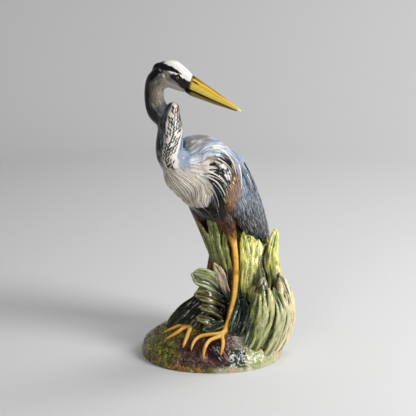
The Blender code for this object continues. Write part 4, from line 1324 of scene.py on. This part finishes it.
LEAVES = {
    "leaf_cream": (((29, -26, 96), (17, -28, 130), (1, -26, 160)), 17, 10, (-0.3, -1, 0.2),
                   "#5a5238", "#d6bd9c", "#f0dfc6"),
    "leaf_left_1": (((24, -20, 100), (-6, -30, 131), (-35, -34, 143)), 33, 12, (-0.2, -0.9, 0.5),
                    "#12180e", "#7e8b4c", "#f8f8ec"),
    "leaf_left_2": (((20, -30, 84), (-5, -42, 105), (-31, -46, 112)), 22, 13, (-0.2, -0.6, 0.9),
                    "#0c100a", "#4c4c1e", "#b8ae6e"),
    "leaf_left_3": (((16, -40, 68), (-2, -50, 85), (-20, -52, 92)), 18, 11, (-0.2, -0.6, 0.9),
                    "#0c100a", "#4b4a1e", "#c5bb7c"),
    "leaf_left_4": (((-2, -20, 98), (-35, -32, 70), (-78, -31, 16)), 54, 18, (-0.35, -0.8, 0.5),
                    "#0a0b09", "#15170f", "#4c4c40"),
    "leaf_left_5": (((12, -46, 52), (-6, -54, 66), (-26, -54, 74)), 17, 10, (-0.2, -0.8, 0.7),
                    "#0c100b", "#585420", "#d0c27a"),
    "leaf_left_6": (((22, -46, 62), (6, -56, 59), (-14, -62, 55)), 20, 12, (0.1, -0.8, 0.7),
                    "#0e1715", "#1c3530", "#4f6e66"),
    "leaf_middle": (((48, -30, 98), (46, -50, 72), (33, -66, 44)), 34, 12, (0, -1, 0.3),
                    "#26302a", "#1f3530", "#b59c90"),
    "leaf_knob": (((66, -36, 74), (76, -44, 114), (84, -38, 136)), 20, 14, (-0.2, -1, 0.2),
                  "#141d1a", "#2a403e", "#9fb5ad"),
    "leaf_right_1": (((42, -86, 10), (66, -78, 38), (81, -66, 82), (84, -50, 128)), 36, 16, (-0.1, -1, 0.3),
                     "#6f7634", "#98a23e", "#e6e29a"),
    "leaf_right_2": (((68, -84, 6), (96, -66, 36), (109, -50, 76), (101, -32, 118)), 34, 14, (0.4, -1, 0.2),
                     "#938c5c", "#848c4a", "#e6e0b4"),
    "leaf_right_3": (((90, -64, 2), (118, -38, 40), (124, -20, 82), (114, 0, 130)), 42, 15, (0.8, -0.7, 0.1),
                     "#d4bf92", "#d8c48e", "#f4e8cc"),
    "leaf_right_4": (((100, 24, 8), (119, 30, 60), (110, 34, 120)), 44, 14, (1, 0.3, 0.1),
                     "#bdb080", "#b4b47a", "#e4e0be"),
    "leaf_back_1": (((66, 70, 10), (82, 74, 60), (78, 66, 114)), 46, 14, (0.4, 1, 0.1),
                    "#565c30", "#7c8844", "#b8bc7a"),
    "leaf_back_2": (((12, 80, 8), (14, 84, 58), (22, 74, 108)), 46, 14, (0, 1, 0.2),
                    "#3f4c22", "#6e7a38", "#a2aa62"),
    "leaf_back_3": (((-20, 62, 22), (-14, 68, 62), (-2, 60, 104)), 38, 13, (-0.5, 0.9, 0.2),
                    "#37431e", "#65702f", "#98a058"),
    "leaf_back_4": (((-14, 18, 40), (-14, 22, 80), (0, 28, 116)), 30, 12, (-1, 0.2, 0.2),
                    "#222a14", "#4f5a26", "#8a9250"),
}
REED_STAND = [
    [30, 18, 30, 52, 50], [36, 18, 70, 52, 48], [43, 20, 110, 47, 40], [45, 22, 145, 42, 34],
    [40, 24, 172, 36, 29], [28, 26, 192, 26, 24], [18, 26, 212, 17, 18],
]


# How each kind of blade is pressed: the share of its width at the root, where it is widest, how blunt its
# tip is, how deep the crease in front is (below 0 it is a rib), ribs across it, how deep they are, and how
# much of the pale rib glaze, partly a painted highlight, goes on them.
KINDS = {
    "reed": (0.8, 0.45, 0.35, 0.22, 4, 0.14, 0.6),
    "left_4": (0.75, 0.6, 0.5, 0.0, 6, 0.10, 0.3),
    "left": (0.55, 0.7, 0.34, 0.75, 3, 0.07, 0.5),
    "right": (0.55, 0.62, 0.40, -0.18, 2, 0.05, 0.25),
    "other": (0.55, 0.62, 0.45, 0.35, 4, 0.16, 0.75),
}


def leaf(name, route, width, thickness, face, glazes, seed):
    """A thick clay leaf from root to tip, with its glazes laid on it."""
    kind = next((kind for kind in KINDS if kind in name), "other")
    root, point, blunt, crease, ribs, rib_depth, rib_glaze_and_highlight_share = KINDS[kind]
    centres = through(np.array(route, float), 24)
    t = route_length(centres)
    t /= t[-1]
    swell = np.where(t < point, root + (1 - root) * np.sin(np.pi / 2 * t / point),
                     np.maximum(np.cos(np.pi / 2 * np.clip((t - point) / (1 - point), 0, 1)), 0) ** blunt)
    swell = np.maximum(swell, 0.22)
    stations = np.column_stack([centres, width / 2 * swell, thickness / 2 * np.maximum(swell, 0.35) ** 0.7])
    stations = domed(stations, end=1.0, rings=6)
    overall = centres[-1] - centres[0]
    overall /= np.linalg.norm(overall)
    across = np.cross(overall, face)
    lean = 0.25 * math.sin(2.3 * seed)
    wave = {"other": 1.6, "right": 1.5}.get(kind, 0.8)

    def rib(x, t):
        warp = wave * np.sin(4 * t + seed) + 1.5 * np.sin(6.3 * t + 2.6 * seed + 2.2 * x)
        return np.cos(np.pi * ribs * x + warp)

    def section(x, y, t):
        front = np.clip(-y, 0, 1)
        x = np.sign(x) * np.abs(x) ** 0.9
        at = x - lean * np.sin(2.5 * t)
        fold = crease * np.exp(-(at / 0.26) ** 2) * front
        curl = 0.42 * (x ** 2 - 0.3)
        return x, y + fold + rib_depth * rib(x, t) * y - curl

    sides = 56
    piece = thrown(name, rings_of(stations, sides, across, section))
    places = points_of(piece)
    reach = route_length(stations[:, :3])
    x, y = round_thrown(len(stations), sides)
    far = per_ring(reach, sides, 0, reach[-1])
    wide = per_ring(stations[:, 3], sides, width / 2, 1)
    t = far / far.max()
    at = x - lean * np.sin(2.5 * t)
    cloud = layered(places, 12, 51 + seed)
    runs = layered(np.stack([x * wide / 2.4, far / 22], 1), 1, 52 + seed)
    low, high, rib_glaze_and_highlight = glazes
    # Pale glaze on the ribs, partly a painted highlight.
    pale = rise(0.1, 1.1, rib(x, t) + 0.7 * runs) * rise(0.05, 0.4, t) * rib_glaze_and_highlight_share
    colour = laid(low, (high, rise(0.0, 0.55, t + 0.15 * cloud)), (rib_glaze_and_highlight, pale))
    pool = 0.9 * np.exp(-(at / 0.17) ** 2) * rise(0.1, -0.5, y) * (crease > 0.2)
    pool = np.maximum(pool, 0.6 * rise(0.40, 0.75, runs))
    # Painted shade towards the roots, deep on the left leaves.
    pool = np.maximum(pool, 0.9 * rise(0.5, 0.1, t) if kind == "left" else 0.6 * rise(0.16, 0.0, t))
    keep_colour(piece, "wash", colour)
    keep_numbers(piece, pool=pool * rise(1.02, 0.9, t), rim=rise(0.90, 0.99, np.abs(x)) * 0.6,
                 across=x * wide, along=far)
    return piece


def reed_core():
    """The fluted core that the reeds are pressed against."""
    stations = domed(through(REED_STAND, 16), end=0.5)
    angle = np.arange(160) * 2 * np.pi / 160

    def fluted(x, y, t):
        flute = 1 + 0.035 * np.cos(22 * np.arctan2(y, x) + 2 * np.sin(5 * t))
        return x * flute, y * flute

    core = thrown("core", rings_of(stations, 160, (1, 0, 0), fluted))
    places = points_of(core)
    round_core = np.append(np.tile(angle, len(stations)), [0, 0]) * 45
    runs = layered(np.stack([round_core / 2.5, places[:, 2] / 26], 1), 1, 61)
    colour = laid(
        "#5b6428",
        ("#98a13a", rise(0.0, 0.5, runs) * rise(70, 150, places[:, 2])),
        ("#5a4420", rise(5, -8, places[:, 0]) * 0.8),
        ("#202714", rise(120, 70, places[:, 2]) * 0.8))
    keep_colour(core, "wash", colour)
    keep_numbers(core, pool=0.85 * rise(-0.05, -0.5, runs), rim=0 * runs, across=round_core,
                 along=places[:, 2])
    return core


def make_plants(glaze):
    """Reeds that prop the bird and leaves that curl round its foot, pressed together into one clump."""
    blades = [reed_core()]
    for seed, (name, (route, width, thickness, *glazes)) in enumerate(REEDS.items()):
        face = np.array(route[1]) - (40, 24 if route[1][1] > 30 else 74, route[1][2])
        blades.append(leaf(name, route, width, thickness, face, glazes, seed))
    for seed, (name, (route, width, thickness, face, *glazes)) in enumerate(LEAVES.items(), 20):
        blades.append(leaf(name, route, width, thickness, np.array(face), glazes, seed))
    plants, kept = fused("reeds_and_leaves", blades, 4)
    places = points_of(plants)
    bent = np.stack([mottle(places, 34, 75), mottle(places, 34, 76), 0 * places[:, 0]], 1)
    places += 3.0 * bent * rise(40, 70, places[:, 2])[:, None]
    places[:, 2] = np.maximum(places[:, 2], 1)
    moved_to(plants, places)
    runs = layered(np.stack([kept["across"] / 3.2, kept["along"] / 26], 1), 1, 71)
    fine = layered(np.stack([kept["across"] / 1.2, kept["along"] / 9], 1), 1, 72)
    bend = 0.5 * mottle(places, 30, 77)
    folds = np.tanh(3.5 * layered(np.stack([kept["across"] / 7.5 + bend, kept["along"] / 60], 1), 1, 78, 2))
    drape = rise(62, 80, places[:, 0]) * rise(170, 130, places[:, 2])
    combed_clay = (1.3 * runs + 0.25 * fine) * (1 - 0.3 * drape)
    pushed(plants, combed_clay + 1.0 * layered(places, 14, 73) + 2.8 * folds * drape)
    stood(plants, 1)
    deep = hollows(plants, 24)
    # Glaze pooled dark in the hollows between blades, deepened by painted shade.
    pool = np.maximum(kept["pool"] * 0.85, rise(0.05, 0.6, deep))
    pool = np.maximum(pool, 0.5 * rise(0.12, 0.45, -runs))
    keep_colour(plants, "wash", paint_plants(places, kept["wash"], folds * drape, runs))
    keep_numbers(plants, pool=pool, rim=0.6 * kept["rim"], thin=rise(0.2, 0.9, -deep),
                 striped=1 - 0.6 * drape)
    keep_flow(plants, kept["across"], kept["along"])
    thinned(plants)
    finish_piece(plants, glaze, "leaf_glaze", "reed_stand", *REEDS, *LEAVES)


def paint_plants(places, colour, folds, runs):
    """Glazes that were brushed over several blades at once, with painted light and painted shade over some of
    them.
    """
    x, y, z = places.T
    front = np.stack([x, z], 1)
    soft = 2.5 * layered(places, 8, 74)
    pale = rise(46, 62, x) * rise(0, -10, y - 30)
    colour = laid(
        colour,
        ("#4c5a24", rise(0.05, 0.35, -runs) * pale * 0.7),
        # White streaks on the bright reeds: painted glints.
        ("#f6f4bc", rise(0.15, 0.45, runs) * pale * 0.6),
        ("#4a5224", rise(0.1, 0.8, -folds) * 0.85),
        ("#efe8c4", rise(0.3, 0.9, folds) * 0.45),
        ("#8a9a52", rise(6, -6, np.abs(z - 60) - 30 + 2 * soft) * rise(112, 96, x) * rise(60, 75, x) * 0.35))
    # Painted light on the upper fronts of the bright reeds and on the top of the tall reed.
    lit = rise(46, 60, x) * rise(96, 120, z) * rise(20, 0, y - 10) * rise(90, 80, x + 3 * soft)
    colour = laid(colour, ("#faf89a", np.maximum(lit, rise(94, 98, x) * rise(150, 170, z)) * 0.5))
    bright = colour @ (0.3, 0.6, 0.1)
    shade = ((6, 56), (30, 56), (40, 96), (38, 140), (24, 150), (12, 126), (4, 96))
    shaded = rise(4, -4, within(front, shade, soft)) * rise(0.42, 0.28, bright) * (y < 20)
    colour = laid(colour, ("#0b0e0a", shaded * 0.9))
    # Painted shade in the hollow between the bright reeds and the tall reed.
    hollow = ((62, 118), (80, 116), (92, 132), (96, 165), (92, 178), (80, 168), (74, 148))
    colour = laid(colour, ("#26332c", rise(3, -3, within(front, hollow, soft)) * (y < 10) * 0.9))
    middle = ((28, 108), (44, 116), (62, 104), (66, 66), (62, 40), (44, 34), (26, 44), (24, 80))
    folded = rise(4, -4, within(front, middle, soft)) * (y < -10)
    return laid(colour, ("#14302e", folded * 0.9), ("#9fb0a6", folded * rise(0.25, 0.6, runs)))


# ---------------------------------------------------------------- studio
# Metres.

FLAT_TO = 1.8                        # the paper lies flat this far from the middle, then curves up
SWEEP = 0.35
CAMERA_AIM = Vector((-0.008, 0, 0.249))
CAMERA_AWAY = 1.65
CAMERA_DROP = math.radians(14)       # how far the camera looks down


def make_studio():
    """A floor that curves up into a round wall, soft light from the right, and the camera."""
    deselect()
    bpy.ops.mesh.primitive_grid_add(x_subdivisions=160, y_subdivisions=160, size=9.0, location=(0, 0, 0))
    floor = bpy.context.object
    floor.name = floor.data.name = "paper_sweep"
    places = points_of(floor)
    past_flat = np.maximum(0, np.linalg.norm(places[:, :2], axis=1) * MM - FLAT_TO)
    places[:, 2] = SWEEP * past_flat ** 2 / MM
    moved_to(floor, places)
    floor.data.shade_smooth()
    floor.data.materials.append(studio_paper())

    def lamp(name, place, size, watts, hex_colour="#ffffff", aim=(0, 0, 0.22)):
        bpy.ops.object.light_add(type="AREA", location=place)
        made = bpy.context.object
        made.name = name
        made.data.shape = "RECTANGLE"
        made.data.size, made.data.size_y = size
        made.data.energy = watts
        made.data.color = linear(hex_colour)
        made.rotation_euler = (Vector(aim) - Vector(place)).to_track_quat("-Z", "Y").to_euler()
        made.visible_camera = False

    lamp("key_window", (1.75, -0.85, 1.3), (0.8, 1.1), 50)
    lamp("front_fill", (-0.9, -2.2, 1.1), (0.8, 0.8), 10)
    lamp("top_window", (0.4, 0.4, 2.0), (0.5, 0.6), 9)
    lamp("wall_wash", (2.0, 1.2, 2.6), (2.4, 1.2), 54, aim=(1.3, 3.4, 1.1))
    world = bpy.data.worlds.new("studio_air")
    bpy.context.scene.world = world
    world.use_nodes = True
    world.node_tree.nodes["Background"].inputs["Color"].default_value = tint("#e8e9ea")
    world.node_tree.nodes["Background"].inputs["Strength"].default_value = 0.15

    place = CAMERA_AIM + CAMERA_AWAY * Vector((0, -math.cos(CAMERA_DROP), math.sin(CAMERA_DROP)))
    bpy.ops.object.camera_add(location=place, rotation=(math.radians(90) - CAMERA_DROP, 0, 0))
    camera = bpy.context.object
    camera.name = "studio_camera"
    camera.data.lens = 85
    camera.data.sensor_width = 36
    bpy.context.scene.camera = camera
    bpy.context.scene.view_settings.view_transform = "Standard"


make_heron(plumage_glaze())
make_bill(bill_glaze())
make_eyes(eye_glaze())
make_mound(moss_glaze())
make_stone(leaf_glaze("plum_stone_glaze", heavy="#4a2c34", thin="#a08a8a", clouded="#2a2018"))
make_plants(leaf_glaze("leaf_run_glaze"))
make_studio()
